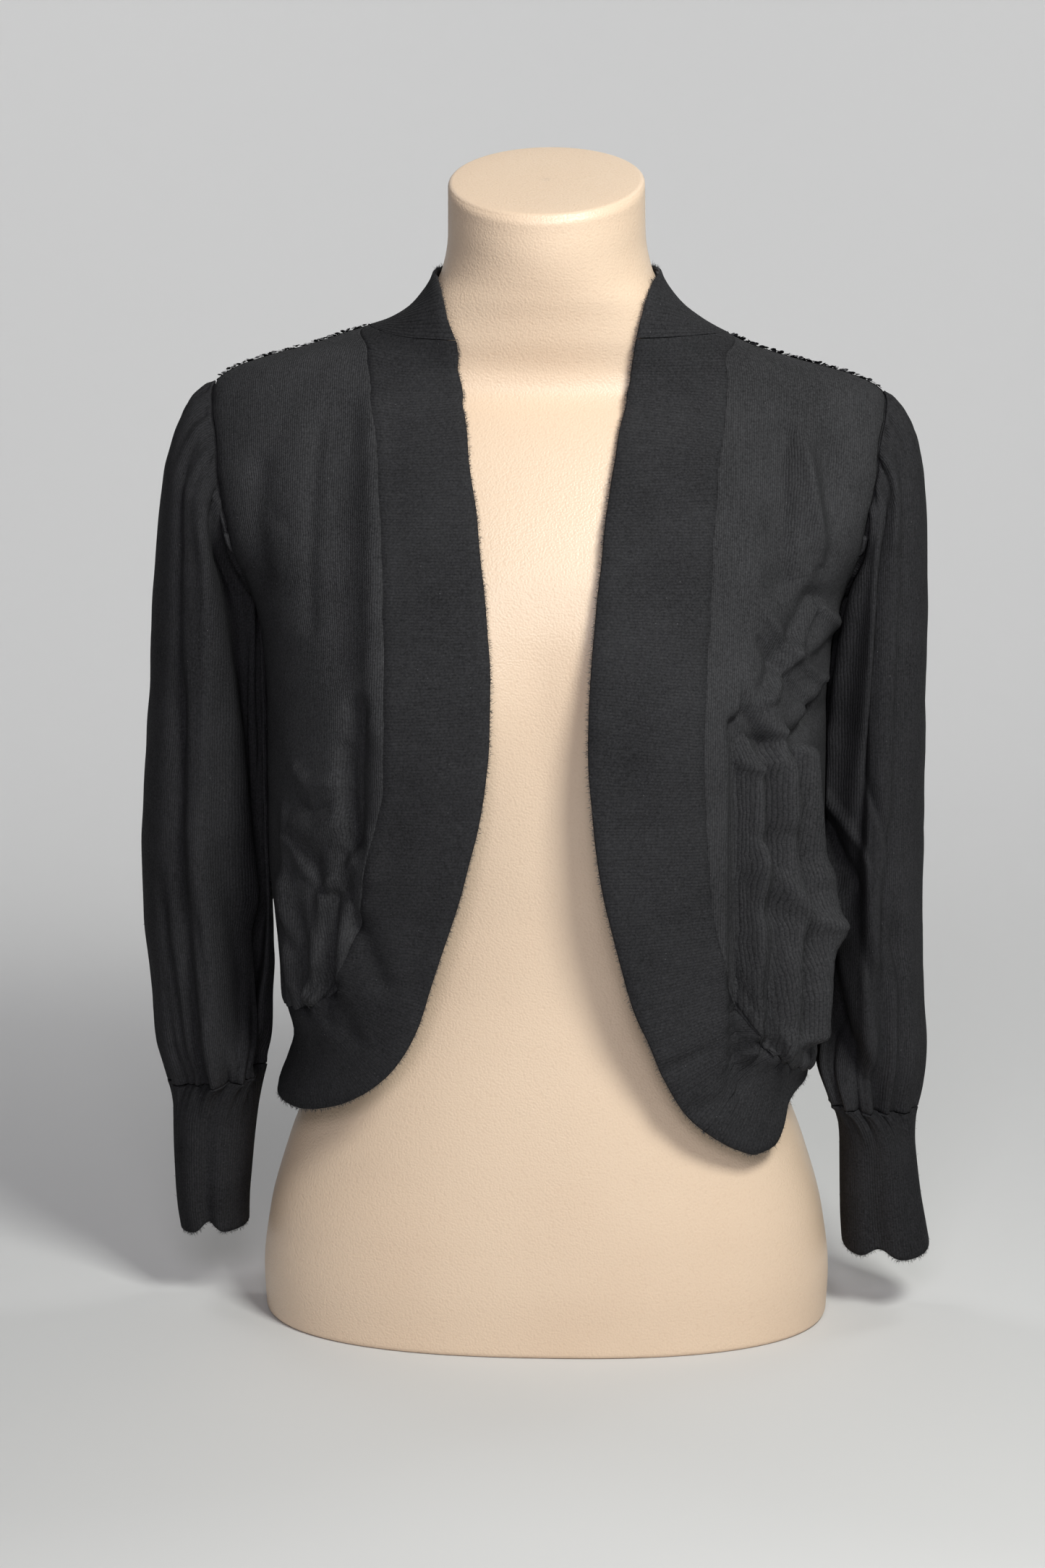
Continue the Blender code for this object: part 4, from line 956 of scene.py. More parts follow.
def make_object(name: str, points: Array, faces: Array | list[Array], cloth: Array | None = None,
                rounded: bool = True) -> Object:
    """Put a mesh in the scene at the origin.

    Args:
        name: Name of the object and its mesh.
        points: Its points, millimetres.
        faces: Corner numbers, one row a face, or a list of such arrays.
        cloth: Place on the knitted cloth of each corner of each face, millimetres.
        rounded: Whether the faces are smoothly shaded.

    Returns:
        The new object.
    """
    arrays = faces if isinstance(faces, list) else [faces]
    mesh = bpy.data.meshes.new(name)
    mesh.from_pydata((points * MM).tolist(), [], [face for array in arrays for face in array.tolist()])
    mesh.polygons.foreach_set("use_smooth", np.full(len(mesh.polygons), rounded))
    if cloth is not None:
        layer = mesh.uv_layers.new(name="cloth")
        layer.data.foreach_set("uv", (cloth * MM).astype(np.float32).ravel())
    mesh.update()
    obj = bpy.data.objects.new(name, mesh)
    bpy.context.scene.collection.objects.link(obj)
    return obj


def draw_in(grid: Array, amounts: tuple[float, float, float, float]) -> Array:
    """Pull the sides of a grid in.

    Args:
        grid: Middle points of a piece.
        amounts: For the first row, last row, first column and last column.

    Returns:
        The grid, a little smaller.
    """
    grid = grid.copy()
    grid[0] += unit(grid[1] - grid[0]) * amounts[0]
    grid[-1] += unit(grid[-2] - grid[-1]) * amounts[1]
    grid[:, 0] += unit(grid[:, 1] - grid[:, 0]) * amounts[2]
    grid[:, -1] += unit(grid[:, -2] - grid[:, -1]) * amounts[3]
    return grid


@dataclass
class Half:
    """The lines that the pieces of one half of the garment share.

    Attributes:
        cloth: The body cloth.
        sign: -1 for the wearer's right, 1 for the left.
        band: Rows of edge_x, edge_z, seam_x, seam_z; 999 lies on the side.
        corner: Row where the front seam turns into the hem seam.
        word: Name of the side, for the pieces.
    """

    cloth: Cloth
    sign: float
    band: Array
    corner: int
    word: str
    ridge_neck: float = 570.0
    ridge_arm: float = 537.0
    ridge_middle: float = 553.0

    def __post_init__(self) -> None:
        """Turn the rows of the band into (angle, z)."""
        edge, seam = self.band[:, :2], self.band[:, 2:]
        self.edge_rows, self.seam_rows = (self.on_body(line) for line in (edge, seam))
        self.hole = np.stack([90 - ARMHOLE[:, 1], ARMHOLE[:, 0]], -1)

    def on_body(self, line: Array) -> Array:
        """Turn distances from the middle into angles."""
        angle = self.cloth.angle_of(np.minimum(line[:, 0], 150.0), line[:, 1])
        return np.stack([np.where(line[:, 0] > 900, 90.0, angle), line[:, 1]], -1)

    def seam(self, place: Array) -> Array:
        """Seam between panel and band, read at fractional rows of its table."""
        front = curve(self.seam_rows[:self.corner + 1], np.minimum(place, self.corner))
        hem = curve(self.seam_rows[self.corner:], np.maximum(place - self.corner, 0))
        return np.where((place <= self.corner)[:, None], front, hem)

    def place(self, line: Array) -> Array:
        """Points of the cloth at (angle, z) of this half."""
        return self.cloth.point(self.sign * line[..., 0], line[..., 1])

    def armhole(self, around: int) -> Array:
        """Closed line of points round the armhole, down its front and up its back."""
        front = self.cloth.spread(self.hole, around // 2, self.sign)
        back = self.place(front * [-1, 1] + [180, 0])
        return np.concatenate([self.place(front), back[::-1][1:-1]])

    def ridge(self, count: int) -> Array:
        """Top of the shoulder, from the neck out to the armhole."""
        rows = np.array([(90.0, self.ridge_neck), (90.0, self.ridge_middle), (90.0, self.ridge_arm)])
        return self.cloth.spread(rows, count, self.sign)

    def side(self, hole: int, count: int) -> Array:
        """Front armhole and side seam, from the ridge down to the hem band."""
        rows = np.array([(90.0, self.hole[-1, 1]), (90.0, 300.0), (90.0, self.seam_rows[-1, 1])])
        armhole = self.cloth.spread(self.hole, hole, self.sign)
        return np.concatenate([armhole, self.cloth.spread(rows, count, self.sign)[1:]])


@dataclass
class FrontPanel:
    """A front: knitted plain, gathered at its foot into the hem band."""

    half: Half
    arc: Arc
    flat: tuple[float, float]
    area: float
    wall: float = 1.4
    detail: int = 8
    gather_rise: float = 1.5
    gather_pitch: float = 13.0
    gather_reach: float = 22.0

    def build(self) -> Object:
        """Fill the area between seam, ridge, side and hem, and gather its foot.

        Returns:
            The front's shell.
        """
        hole, down, over = 8 * self.detail, 20 * self.detail, 10 * self.detail
        half, cloth = self.half, self.half.cloth
        front = cloth.spread(half.seam_rows[:half.corner + 1], hole + down, half.sign)
        hem = cloth.spread(half.seam_rows[half.corner:], over, half.sign)
        flat = self.arc.fill(front, half.side(hole, down), half.ridge(over), hem, 0.0)
        grid = self.gather(half.place(flat))
        grid = draw_in(grid, (0.45, 0.25, 0.25, 0.2))
        amount = np.where(np.arange(hole + down + 1) <= hole, 0.5, 0.0)
        grid[:, -1] += unit(grid[:, -2] - grid[:, -1]) * amount[:, None]
        grid = seam_dip(grid, (True, True, False, True), 0.7, 3.5)
        place = np.stack([self.arc.length(flat[..., 0], flat[..., 1]), fall_of(grid)], -1)
        name = "front_" + half.word
        shell = Shell("knit_" + name, cloth.settle(grid), place, self.wall)
        return dress(shell.build(), name, "fine_knit")

    def gather(self, grid: Array) -> Array:
        """Add small pleats at the foot: a cosine along the hem that dies out upwards.

        Args:
            grid: Points of the front.

        Returns:
            The same grid with its pleats.
        """
        run = run_of(grid[-1])
        fall = np.linalg.norm(grid - grid[-1:], axis=-1)
        warp = run + 2.2 * np.sin(run / 17.0) + 1.3 * np.sin(run / 6.1 + 1.0)
        wave = np.cos(2 * math.pi * warp / self.gather_pitch)
        wave = wave + 0.35 * np.cos(2 * math.pi * warp / self.gather_pitch * 2.3 + 0.8)
        fade = smooth(np.minimum(run, run[-1] - run) / 14)
        height = self.gather_rise * (wave * fade)[None, :] * np.exp(-fall / self.gather_reach)
        return grid + facing(grid) * height[..., None]


@dataclass
class BackPanel:
    """The back, from the neck seam and the ridges down to the hem band."""

    right: Half
    left: Half
    arc: Arc
    flat: tuple[float, float] = (0.44, 0.47)
    area: float = 0.18
    wall: float = 1.4
    detail: int = 5
    neck_z: tuple[float, float] = (565.5, 563.0)

    def neck(self, count: int) -> Array:
        """Seam of the neck band, from the left ridge to the right."""
        side, middle = self.neck_z
        z = np.array([self.left.ridge_neck, side, middle, side, self.left.ridge_neck])
        rows = np.stack([np.array([90.0, 125.0, 180.0, 235.0, 270.0]), z], -1)
        return self.left.cloth.spread(rows, count)

    def hem(self, count: int) -> Array:
        """Seam of the hem band, from the left side to the right."""
        z0, z1 = self.left.seam_rows[-1, 1], self.right.seam_rows[-1, 1]
        z = np.array([z0, z0 * 0.8 + z1 * 0.2 + 3, (z0 + z1) / 2 + 4, z0 * 0.2 + z1 * 0.8 + 3, z1])
        rows = np.stack([np.array([90.0, 135.0, 180.0, 225.0, 270.0]), z], -1)
        return self.left.cloth.spread(rows, count)

    def lines(self) -> tuple[Array, Array, Array, Array]:
        """The four sides of the panel as (angle, z).

        Returns:
            Left side, right side, top and bottom.
        """
        hole, down, over = 8 * self.detail, 20 * self.detail, 10 * self.detail
        sides = []
        for half in (self.left, self.right):
            line = half.side(hole, down)
            line[:hole + 1, 0] = 180 - line[:hole + 1, 0]
            sides.append(line)
        sides[1] = sides[1] * [-1, 1] + [360, 0]
        right_ridge = self.right.ridge(over) * [-1, 1] + [360, 0]
        top = np.concatenate([self.left.ridge(over)[::-1], self.neck(over)[1:-1], right_ridge])
        return sides[0], sides[1], top, self.hem(len(top) - 1)

    def build(self) -> Object:
        """Fill the area between the four sides.

        Returns:
            The back's shell.
        """
        flat = self.arc.fill(*self.lines(), 180.0)
        grid = self.left.cloth.point(flat[..., 0], flat[..., 1])
        grid = draw_in(grid, (0.3, 0.25, 0.3, 0.3))
        hole = 8 * self.detail + 1
        for column, beside in ((0, 1), (-1, -2)):
            grid[:hole, column] += unit(grid[:hole, beside] - grid[:hole, column]) * 0.4
        place = np.stack([self.arc.length(flat[..., 0], flat[..., 1]), fall_of(grid)], -1)
        shell = Shell("knit_back_panel", self.left.cloth.settle(grid), place, self.wall)
        return dress(shell.build(), "back_panel", "sequin_back")


@dataclass
class Band:
    """A rib band. Its ribs run straight from the seam to the free edge.

    Attributes:
        cloth: The body cloth.
        node: Name of the solid it stands for.
        flat: Width and length of the cut; not used.
        rib: Distance between ribs.
        rise: Height of a rib.
        columns: Grid steps from the seam to the edge.
    """

    cloth: Cloth
    node: str
    flat: tuple[float, float]
    area: float | None = None
    wall: float = 1.9
    rib: float = 1.75
    rise: float = 0.14
    columns: int = 10
    ends_in: tuple[float, float] = (0.3, 0.15)

    def ends(self, t: Array) -> tuple[Array, Array]:
        """Seam and edge as (angle, z) at shares t of the band's length."""
        raise NotImplementedError

    def build(self) -> Object:
        """Lay rows of four grid steps a rib along the band, evenly at its middle line.

        A rib's height is rise * (1 + cosine) / 2, made uneven by a slow ripple.

        Returns:
            The band's shell.
        """
        dense = np.linspace(0, 1, 1800)
        seam, edge = self.ends(dense)
        middle = (seam + edge) / 2
        run = run_of(self.cloth.point(middle[:, 0], middle[:, 1]))
        ribs = round(run[-1] / self.rib)
        along = np.linspace(0, run[-1], 4 * ribs + 1)
        seam, edge = self.ends(np.interp(along, run, dense))
        s = np.linspace(0, 1, self.columns + 1)[None, :, None]
        flat = seam[:, None, :] * (1 - s) + edge[:, None, :] * s
        grid = self.cloth.point(flat[..., 0], flat[..., 1])
        grid = draw_in(grid, (self.ends_in[0], self.ends_in[1], 0.15, 0.0))
        grid = seam_dip(grid, (False, False, True, False), 0.5, 3.0)
        fall = fall_of(grid, axis=1)
        place = np.stack([along[:, None] + 0 * fall, fall], -1)
        wave = 0.5 + 0.5 * np.cos(math.pi / 2 * np.arange(len(along)))
        uneven = 1 + 0.25 * ripple(along[:, None], fall, 30.0, 11)
        start = 0.4 + 0.6 * smooth(fall / 4)
        raised = self.rise * wave[:, None] * uneven * start
        shell = Shell("rib_" + self.node, self.cloth.settle(grid), place, self.wall, raised=raised)
        rows, wide = grid.shape[:2]
        first = 2 * rows * wide + rows + wide - 2
        self.free_edge = (first, first + rows)
        return dress(shell.build(), self.node, "rib_knit")


@dataclass
class FrontBand(Band):
    """The band down one front and round its lower corner to the side seam."""

    half: Half | None = None

    def ends(self, t: Array) -> tuple[Array, Array]:
        """Seam and edge at the same fractional row of the band's table."""
        place = t * (len(self.half.band) - 1)
        way = np.array([self.half.sign, 1.0])
        return self.half.seam(place) * way, curve(self.half.edge_rows, place) * way


@dataclass
class HemBand(Band):
    """The band across the foot of the back."""

    back: BackPanel | None = None
    low: tuple[float, ...] = (130.0, 121.0, 124.0, 129.0)

    def ends(self, t: Array) -> tuple[Array, Array]:
        """Hem seam, and the edge below it read from a table of angles."""
        seam = read(self.back.hem(SEAM_STEPS), t * SEAM_STEPS)
        z0, z1 = self.back.left.edge_rows[-1, 1], self.back.right.edge_rows[-1, 1]
        z = through(seam[:, 0], np.array([90, 112, 135, 180, 225, 270]), np.array([z0, *self.low, z1]))
        return seam, np.stack([seam[:, 0], z], -1)


@dataclass
class NeckBand(Band):
    """The band that stands up round the back of the neck."""

    back: BackPanel | None = None
    front_edge: Array = field(default_factory=lambda: np.array(
        [(53.5, 576), (56, 586), (58.5, 595), (61, 601)]))
    back_edge: Array = field(default_factory=lambda: np.array(
        [(90.0, 604.0), (135.0, 606.0), (180.0, 609.0)]))
    edge_steps: int = 280

    def ends(self, t: Array) -> tuple[Array, Array]:
        """Neck seam, and the upper edge that runs down to the two front bands.

        Args:
            t: Shares of the band's length.

        Returns:
            Seam and edge as (angle, z).
        """
        share = np.array([0, 0.3, 0.6, *range(1, 10), 9.4, 9.7, 10]) * SEAM_STEPS / 10
        where = np.interp(t * (len(share) - 1), np.arange(len(share)), share)
        seam = read(self.back.neck(SEAM_STEPS), where)
        rise = np.stack([self.cloth.angle_of(*self.front_edge.T), self.front_edge[:, 1]], -1)
        behind = np.concatenate([self.back_edge, (self.back_edge * [-1, 1] + [360, 0])[-2::-1]])
        path = np.concatenate([[self.back.left.edge_rows[0]], rise, behind,
                               (rise * [-1, 1] + [360, 0])[::-1],
                               [np.array(self.back.right.edge_rows[0]) * [-1, 1] + [360, 0]]])
        return seam, read(self.cloth.spread(path, self.edge_steps), t * self.edge_steps)


@dataclass
class Sleeve:
    """A sleeve: rings that fan from the armhole and hang down to the cuff.

    Attributes:
        half: The half it belongs to.
        rows: Rings as outer_x, outer_z, inner_x, inner_z, front_y, back_y.
        creases: Rows of creases.
        flat: Widest width and length of the cut; not used.
        area: Area of the cut; not used.
        around: Points round a ring.
        along: Steps from the armhole to the cuff.
        clear: Least distance from the body.
        hug: How far the inner front moves in against the body.
        tuck: How far the inner third of the front lies back.
        hug_from: Heights between which the hug sets in.
        hug_to: Heights between which it ends.
        lean: How far the front moves out and the back in.
    """

    half: Half
    rows: Array
    creases: Array
    flat: tuple[float, float]
    area: float
    wall: float = 1.4
    around: int = 184
    along: int = 160
    clear: float = 2.0
    hug: float = 9.0
    tuck: float = 31.0
    fold_gain: float = 1.4
    hug_from: tuple[float, float] = (455.0, 425.0)
    hug_to: tuple[float, float] = (250.0, 215.0)
    lean: float = 8.0
    gathers: int = 13
    gather_rise: float = 2.4
    head_pleats: int = 19
    head_rise: float = 1.3
    head_reach: float = 0.13
    puff: float = 2.0
    gather_reach: float = 0.16
    slack: float = 0.35

    def rings(self) -> tuple[Array, Array, Array]:
        """Smooth sleeve: each ring is a flattened oval, eased into the armhole's own line.

        Returns:
            The grid of points, the ring numbers and the angles round a ring.
        """
        half, sign = self.half, self.half.sign
        top = half.armhole(self.around)
        ring = np.linspace(0, len(self.rows) - 1, self.along + 1)
        angle = 2 * math.pi * np.arange(self.around) / self.around
        centre, axis, depth = ovals(self.rows, ring, sign)
        deep_front, deep_back = -depth[:, :1], depth[:, 1:]
        along0 = ((top - centre[0]) @ axis[0]) / (axis[0] @ axis[0])
        off = (top - centre[0] - along0[:, None] * axis[0]) * [1, 0, 1]
        w = (1 - np.clip(1 - ring / 4.5, 0, 1) ** 1.6)[:, None]
        sine = np.sin(angle)[None, :]
        y = np.where(sine > 0, -deep_front, deep_back) * np.abs(sine) ** 0.9
        y = (1 - w) * top[:, 1] * (1 + 0.5 * w) + w * y
        along = (1 - w) * along0 + w * np.cos(angle)
        grid = centre[:, None] + along[..., None] * axis[:, None] + (1 - w)[..., None] * off
        lean = np.where(y < 0, self.lean * y / deep_front, 0.3 * self.lean * y / deep_back)
        grid[..., 0] += sign * lean * w
        grid[..., 1] = y
        under = smooth(0.1 - np.cos(angle) / 0.8)[:, None]
        away = unit((top - [0, 4.0, 0]) * [1, 1, 0])
        shift = np.array([sign * 1.1, 0, 0]) * (1 - under) + 2.3 * away * under
        grid = grid + shift * np.clip(1 - ring / 0.75, 0, 1)[:, None, None]
        return grid, ring, angle

    def surface(self) -> Array:
        """The creased sleeve, kept clear of the body beside it.

        A crease adds rise * exp(-(distance round the ring / width) squared) along
        the normal, and gathers are cosines that die out from the head and the foot.

        Returns:
            Rings of points, from the armhole down.
        """
        grid, ring, angle = self.rings()
        share = ring / (len(self.rows) - 1)
        centre = grid.mean(axis=1, keepdims=True)
        down = np.gradient(grid, axis=0)
        normal = unit(np.cross(down, np.roll(grid, -1, axis=1) - np.roll(grid, 1, axis=1)))
        if (normal * (grid - centre)).sum(-1).mean() < 0:
            normal = -normal
        size = np.linalg.norm(grid - centre, axis=-1).mean(axis=1)
        height = np.zeros(grid.shape[:2])
        for row in self.creases:
            t = np.clip((share - row[3]) / (row[4] - row[3]), 0, 1)
            place = np.interp(t, (0, 0.5, 1), row[:3])
            target = np.arccos(np.clip(2 * place - 1, -0.98, 0.98)) * row[5]
            turn = (angle[None, :] - target[:, None] + math.pi) % (2 * math.pi) - math.pi
            arc = turn * size[:, None]
            width = np.where(arc * row[5] > 0, row[7], row[8])
            past = np.maximum(np.maximum(row[3] - share, share - row[4]), 0)
            fade = np.exp(-(past / 0.035) ** 2) * smooth(share / 0.24)
            height += self.fold_gain * row[6] * np.exp(-(arc / width) ** 2) * fade[:, None]
        reach = np.exp(-((1 - share) / self.gather_reach) ** 2)[:, None]
        wave = np.cos(self.gathers * angle + 0.6) + 0.3 * np.cos(2.4 * self.gathers * angle + 2.0)
        height += self.gather_rise * reach * wave[None, :]
        girth = angle[None, :] * size[:, None]
        height += self.slack * ripple(girth, share[:, None] * 400, 34.0, 21) * smooth(share / 0.1)[:, None]
        head = np.exp(-(share / self.head_reach) ** 2) * smooth(share / 0.03)
        pleats = np.cos(self.head_pleats * angle + 0.9) + 0.4 * np.cos(1.7 * self.head_pleats * angle)
        height += self.head_rise * head[:, None] * pleats[None, :]
        height += self.puff * np.exp(-((share - 0.93) / 0.05) ** 2)[:, None]
        inside = smooth((np.cos(angle)[None, :] + 1.0) / 0.5)
        height = np.where(height > 0, height * (0.25 + 0.75 * inside), height)
        grid = grid + normal * height[..., None]
        z = grid[..., 2]
        span = smooth((self.hug_from[0] - z) / (self.hug_from[0] - self.hug_from[1]))
        span = span * smooth((z - self.hug_to[1]) / (self.hug_to[0] - self.hug_to[1]))
        inner = smooth(-np.cos(angle) / 0.6)[None, :] * smooth(-grid[..., 1] / 16)
        grid[..., 0] -= self.half.sign * self.hug * span * inner
        third = smooth(-(np.cos(angle) - 0.12) / 0.6)[None, :] * smooth(-grid[..., 1] / 12)
        grid[..., 1] += self.tuck * smooth(share / 0.2)[:, None] * smooth((1 - share) / 0.12)[:, None] * third
        late = np.clip(ring / 0.75, 0, 1)[:, None, None]
        return grid * (1 - late) + self.keep_off(grid) * late

    def keep_off(self, grid: Array) -> Array:
        """Push points out past the body's own half width where they lie nearer.

        Args:
            grid: Points of the sleeve.

        Returns:
            The points, clear of the body.
        """
        half, front, back, centre, power = self.half.cloth.sections.at(grid[..., 2])
        half = half + np.abs(self.half.cloth.side_shift(self.half.sign * half, grid[..., 2]))
        depth = np.where(grid[..., 1] < centre, front, back)
        share = np.clip(np.abs(grid[..., 1] - centre) / depth, 0, 1)
        wall = half * (1 - share ** power) ** (1 / power)
        angle = np.degrees(np.arcsin(share ** (power / 2)))
        hole = through(grid[..., 2], ARMHOLE[::-1, 0], ARMHOLE[::-1, 1])
        ease = 8 * (1 - smooth((angle - hole) / 8 + 1.1))
        ease = np.where(grid[..., 2] > ARMHOLE[-1, 0], ease, 0)
        out = grid.copy()
        out[..., 0] = self.half.sign * np.maximum(np.abs(grid[..., 0]), wall + self.clear - ease)
        return out

    def build(self) -> Object:
        """Give the creased sleeve its wall.

        Returns:
            The sleeve's shell.
        """
        grid = self.surface()
        self.head, self.foot = grid[0], grid[-1]
        name = "sleeve_" + self.half.word
        shell = Shell("knit_" + name, self.half.cloth.settle(grid), tube_cloth(grid), self.wall, tube=True)
        # Painted shade: the sleeve wears a darker copy of the fine knit, for the shade it hangs in.
        return dress(shell.build(), name, "fine_knit", "sleeve_knit_painted_shade")


@dataclass
class ArmholeSeam:
    """The sewn edges turned in between a sleeve and the body, a soft roll of cloth."""

    sleeve: Sleeve
    sink: float = 2.1
    spare: float = 0.5
    sides: int = 10

    def build(self) -> Object:
        """Carry a circle round the armhole, halfway between body and sleeve and a little inside.

        Point = middle + radius * (cosine of the turn * way across the seam
        + sine of the turn * way out of the body), with half the gap plus a
        spare as radius.

        Returns:
            The roll's object.
        """
        sleeve, half = self.sleeve, self.sleeve.half
        body, head = half.armhole(sleeve.around), sleeve.head
        across = unit(head - body)
        ahead = unit(np.roll(body, -1, axis=0) - np.roll(body, 1, axis=0))
        out = unit(np.cross(across, ahead))
        out = np.where((out * (body - [0, 0, 430]) * [1, 1, 0.6]).sum(-1, keepdims=True) > 0, out, -out)
        middle = (body + head) / 2 - out * self.sink
        radius = np.linalg.norm(head - body, axis=-1) / 2 + self.spare
        turn = 2 * math.pi * np.arange(self.sides) / self.sides
        ring = np.cos(turn)[None, :, None] * across[:, None] + np.sin(turn)[None, :, None] * out[:, None]
        grid = half.cloth.settle(middle[:, None] + ring * radius[:, None, None])
        rows, sides = grid.shape[:2]
        corner = grid_corners(rows, sides)
        faces = np.stack([a % rows * sides + b % sides for a, b in corner], -1)
        cloth = np.stack([np.stack([1.3 * b, 1.5 * a], -1) for a, b in corner], 1).astype(float)
        centre = grid.mean(axis=1)[corner[0][0]]
        face = grid.reshape(-1, 3)[faces]
        way = np.cross(face[:, 1] - face[:, 0], face[:, 2] - face[:, 0])
        if (way * (face.mean(axis=1) - centre)).sum() < 0:
            faces, cloth = faces[:, ::-1], cloth[:, ::-1]
        obj = make_object("seam_armhole_" + half.word, grid.reshape(-1, 3), faces, cloth)
        return wear(obj, "fine_knit")


@dataclass
class Cuff:
    """A rib cuff hung from the last ring of its sleeve.

    Attributes:
        sleeve: The sleeve it is sewn to.
        rows: Rings as outer_x, outer_z, inner_x, inner_z, front_y, back_y.
        creases: Place across, side, rise and width.
        sag: How far the front of its mouth hangs lower.
        flat: Width and length of the cut; not used.
    """

    sleeve: Sleeve
    rows: Array
    creases: tuple[tuple[float, float, float, float], ...]
    sag: float
    flat: tuple[float, float]
    area: float | None = None
    wall: float = 1.7
    ribs: int = 88
    along: int = 32
    rise: float = 0.18
    notch: float = 6.0
    radius: float = 25.0

    def surface(self) -> Array:
        """Rings of flattened ovals, pressed in at the creases and eased to the sleeve's foot.

        Returns:
            Rings of points, from the sleeve down.
        """
        around = 4 * self.ribs
        angle = 2 * math.pi * np.arange(around) / around
        ring = np.linspace(0, len(self.rows) - 1, self.along + 1)
        centre, axis, depth = ovals(self.rows, ring, self.sleeve.half.sign)
        grid = centre[:, None] + np.cos(angle)[None, :, None] * axis[:, None]
        sine = np.sin(angle)[None, :]
        grid[..., 1] = np.where(sine > 0, depth[:, :1], depth[:, 1:]) * np.abs(sine) ** 0.85
        w = smooth(ring / (len(self.rows) - 1))[:, None]
        for across, face, rise, width in self.creases:
            turn = (angle - math.acos(2 * across - 1) * face + math.pi) % (2 * math.pi) - math.pi
            press = np.exp(-(turn * self.radius / width) ** 2)[None, :]
            grid[..., 1] += np.sign(grid[..., 1]) * rise * press * (0.3 + 0.7 * w)
            grid[..., 2] += self.notch * press * w ** 4
        grid[..., 2] -= self.sag * w ** 3 * np.maximum(sine, 0) ** 0.7
        foot = self.sleeve.foot
        foot = read(np.append(foot, foot[:1], axis=0), np.arange(around) / around * len(foot))
        pull = smooth(1 - ring / 1.6)[:, None, None]
        return grid * (1 - pull) + (foot - [0, 0, 1.3]) * pull

    def build(self) -> Object:
        """Raise the ribs and give the cuff its wall.

        Returns:
            The cuff's shell.
        """
        grid = self.surface()
        around = grid.shape[1]
        place = tube_cloth(grid)
        wave = 0.5 + 0.5 * np.cos(math.pi / 2 * np.arange(around))[None, :]
        raised = self.rise * wave * (0.4 + 0.6 * smooth(place[:, :-1, 1] / 4))
        name = "cuff_" + self.sleeve.half.word
        grid = self.sleeve.half.cloth.settle(grid)
        shell = Shell("rib_" + name, grid, place, self.wall, tube=True, raised=raised)
        first = 2 * grid.shape[0] * around + around
        self.free_edge = (first, first + around)
        # Painted shade: the cuff wears a darker copy of the rib knit, for the shade it hangs in.
        return dress(shell.build(), name, "rib_knit", "cuff_knit_painted_shade")


def ovals(rows: Array, ring: Array, sign: float) -> tuple[Array, Array, Array]:
    """Flattened ovals of a sleeve or cuff at fractional ring numbers.

    Args:
        rows: Table of rings.
        ring: Ring numbers.
        sign: -1 for the wearer's right.

    Returns:
        Centre, half of the long axis, and y of the front and back of each oval.
    """
    row = curve(rows, ring)
    outer = np.stack([sign * row[:, 0], 0 * ring, row[:, 1]], -1)
    inner = np.stack([sign * row[:, 2], 0 * ring, row[:, 3]], -1)
    return (outer + inner) / 2, (outer - inner) / 2, row[:, 4:6]


def tube_cloth(grid: Array) -> Array:
    """Place on the cloth of each point of a tube, with a column more for its join."""
    girth = np.linalg.norm(np.diff(grid, axis=1, append=grid[:, :1]), axis=-1).sum(axis=1).mean()
    across = np.linspace(0, girth, grid.shape[1] + 1)[None, :]
    fall = fall_of(np.concatenate([grid, grid[:, :1]], axis=1))
    return np.stack([across + 0 * fall, fall], -1)


def facing(grid: Array) -> Array:
    """Normals of an open grid, turned away from the middle of the body."""
    normal = unit(np.cross(np.gradient(grid, axis=0), np.gradient(grid, axis=1)))
    return normal if (normal * grid * [1, 1, 0]).sum(-1).mean() > 0 else -normal


def seam_dip(grid: Array, sides: tuple[bool, bool, bool, bool], depth: float, reach: float) -> Array:
    """Sink the cloth along its sewn sides: depth times a bell of the distance to the side.

    Args:
        grid: Middle points of a piece.
        sides: Which of first row, last row, first column and last column are sewn.
        depth: How far the seam lies below the cloth.
        reach: Width of the dip.

    Returns:
        The grid with its sewn sides sunk.
    """
    lower = np.zeros(grid.shape[:2])
    lines = (grid[:1], grid[-1:], grid[:, :1], grid[:, -1:])
    for sewn, line in zip(sides, lines):
        if sewn:
            lower += np.exp(-(np.linalg.norm(grid - line, axis=-1) / reach) ** 2)
    return grid - facing(grid) * (depth * np.minimum(lower, 1))[..., None]


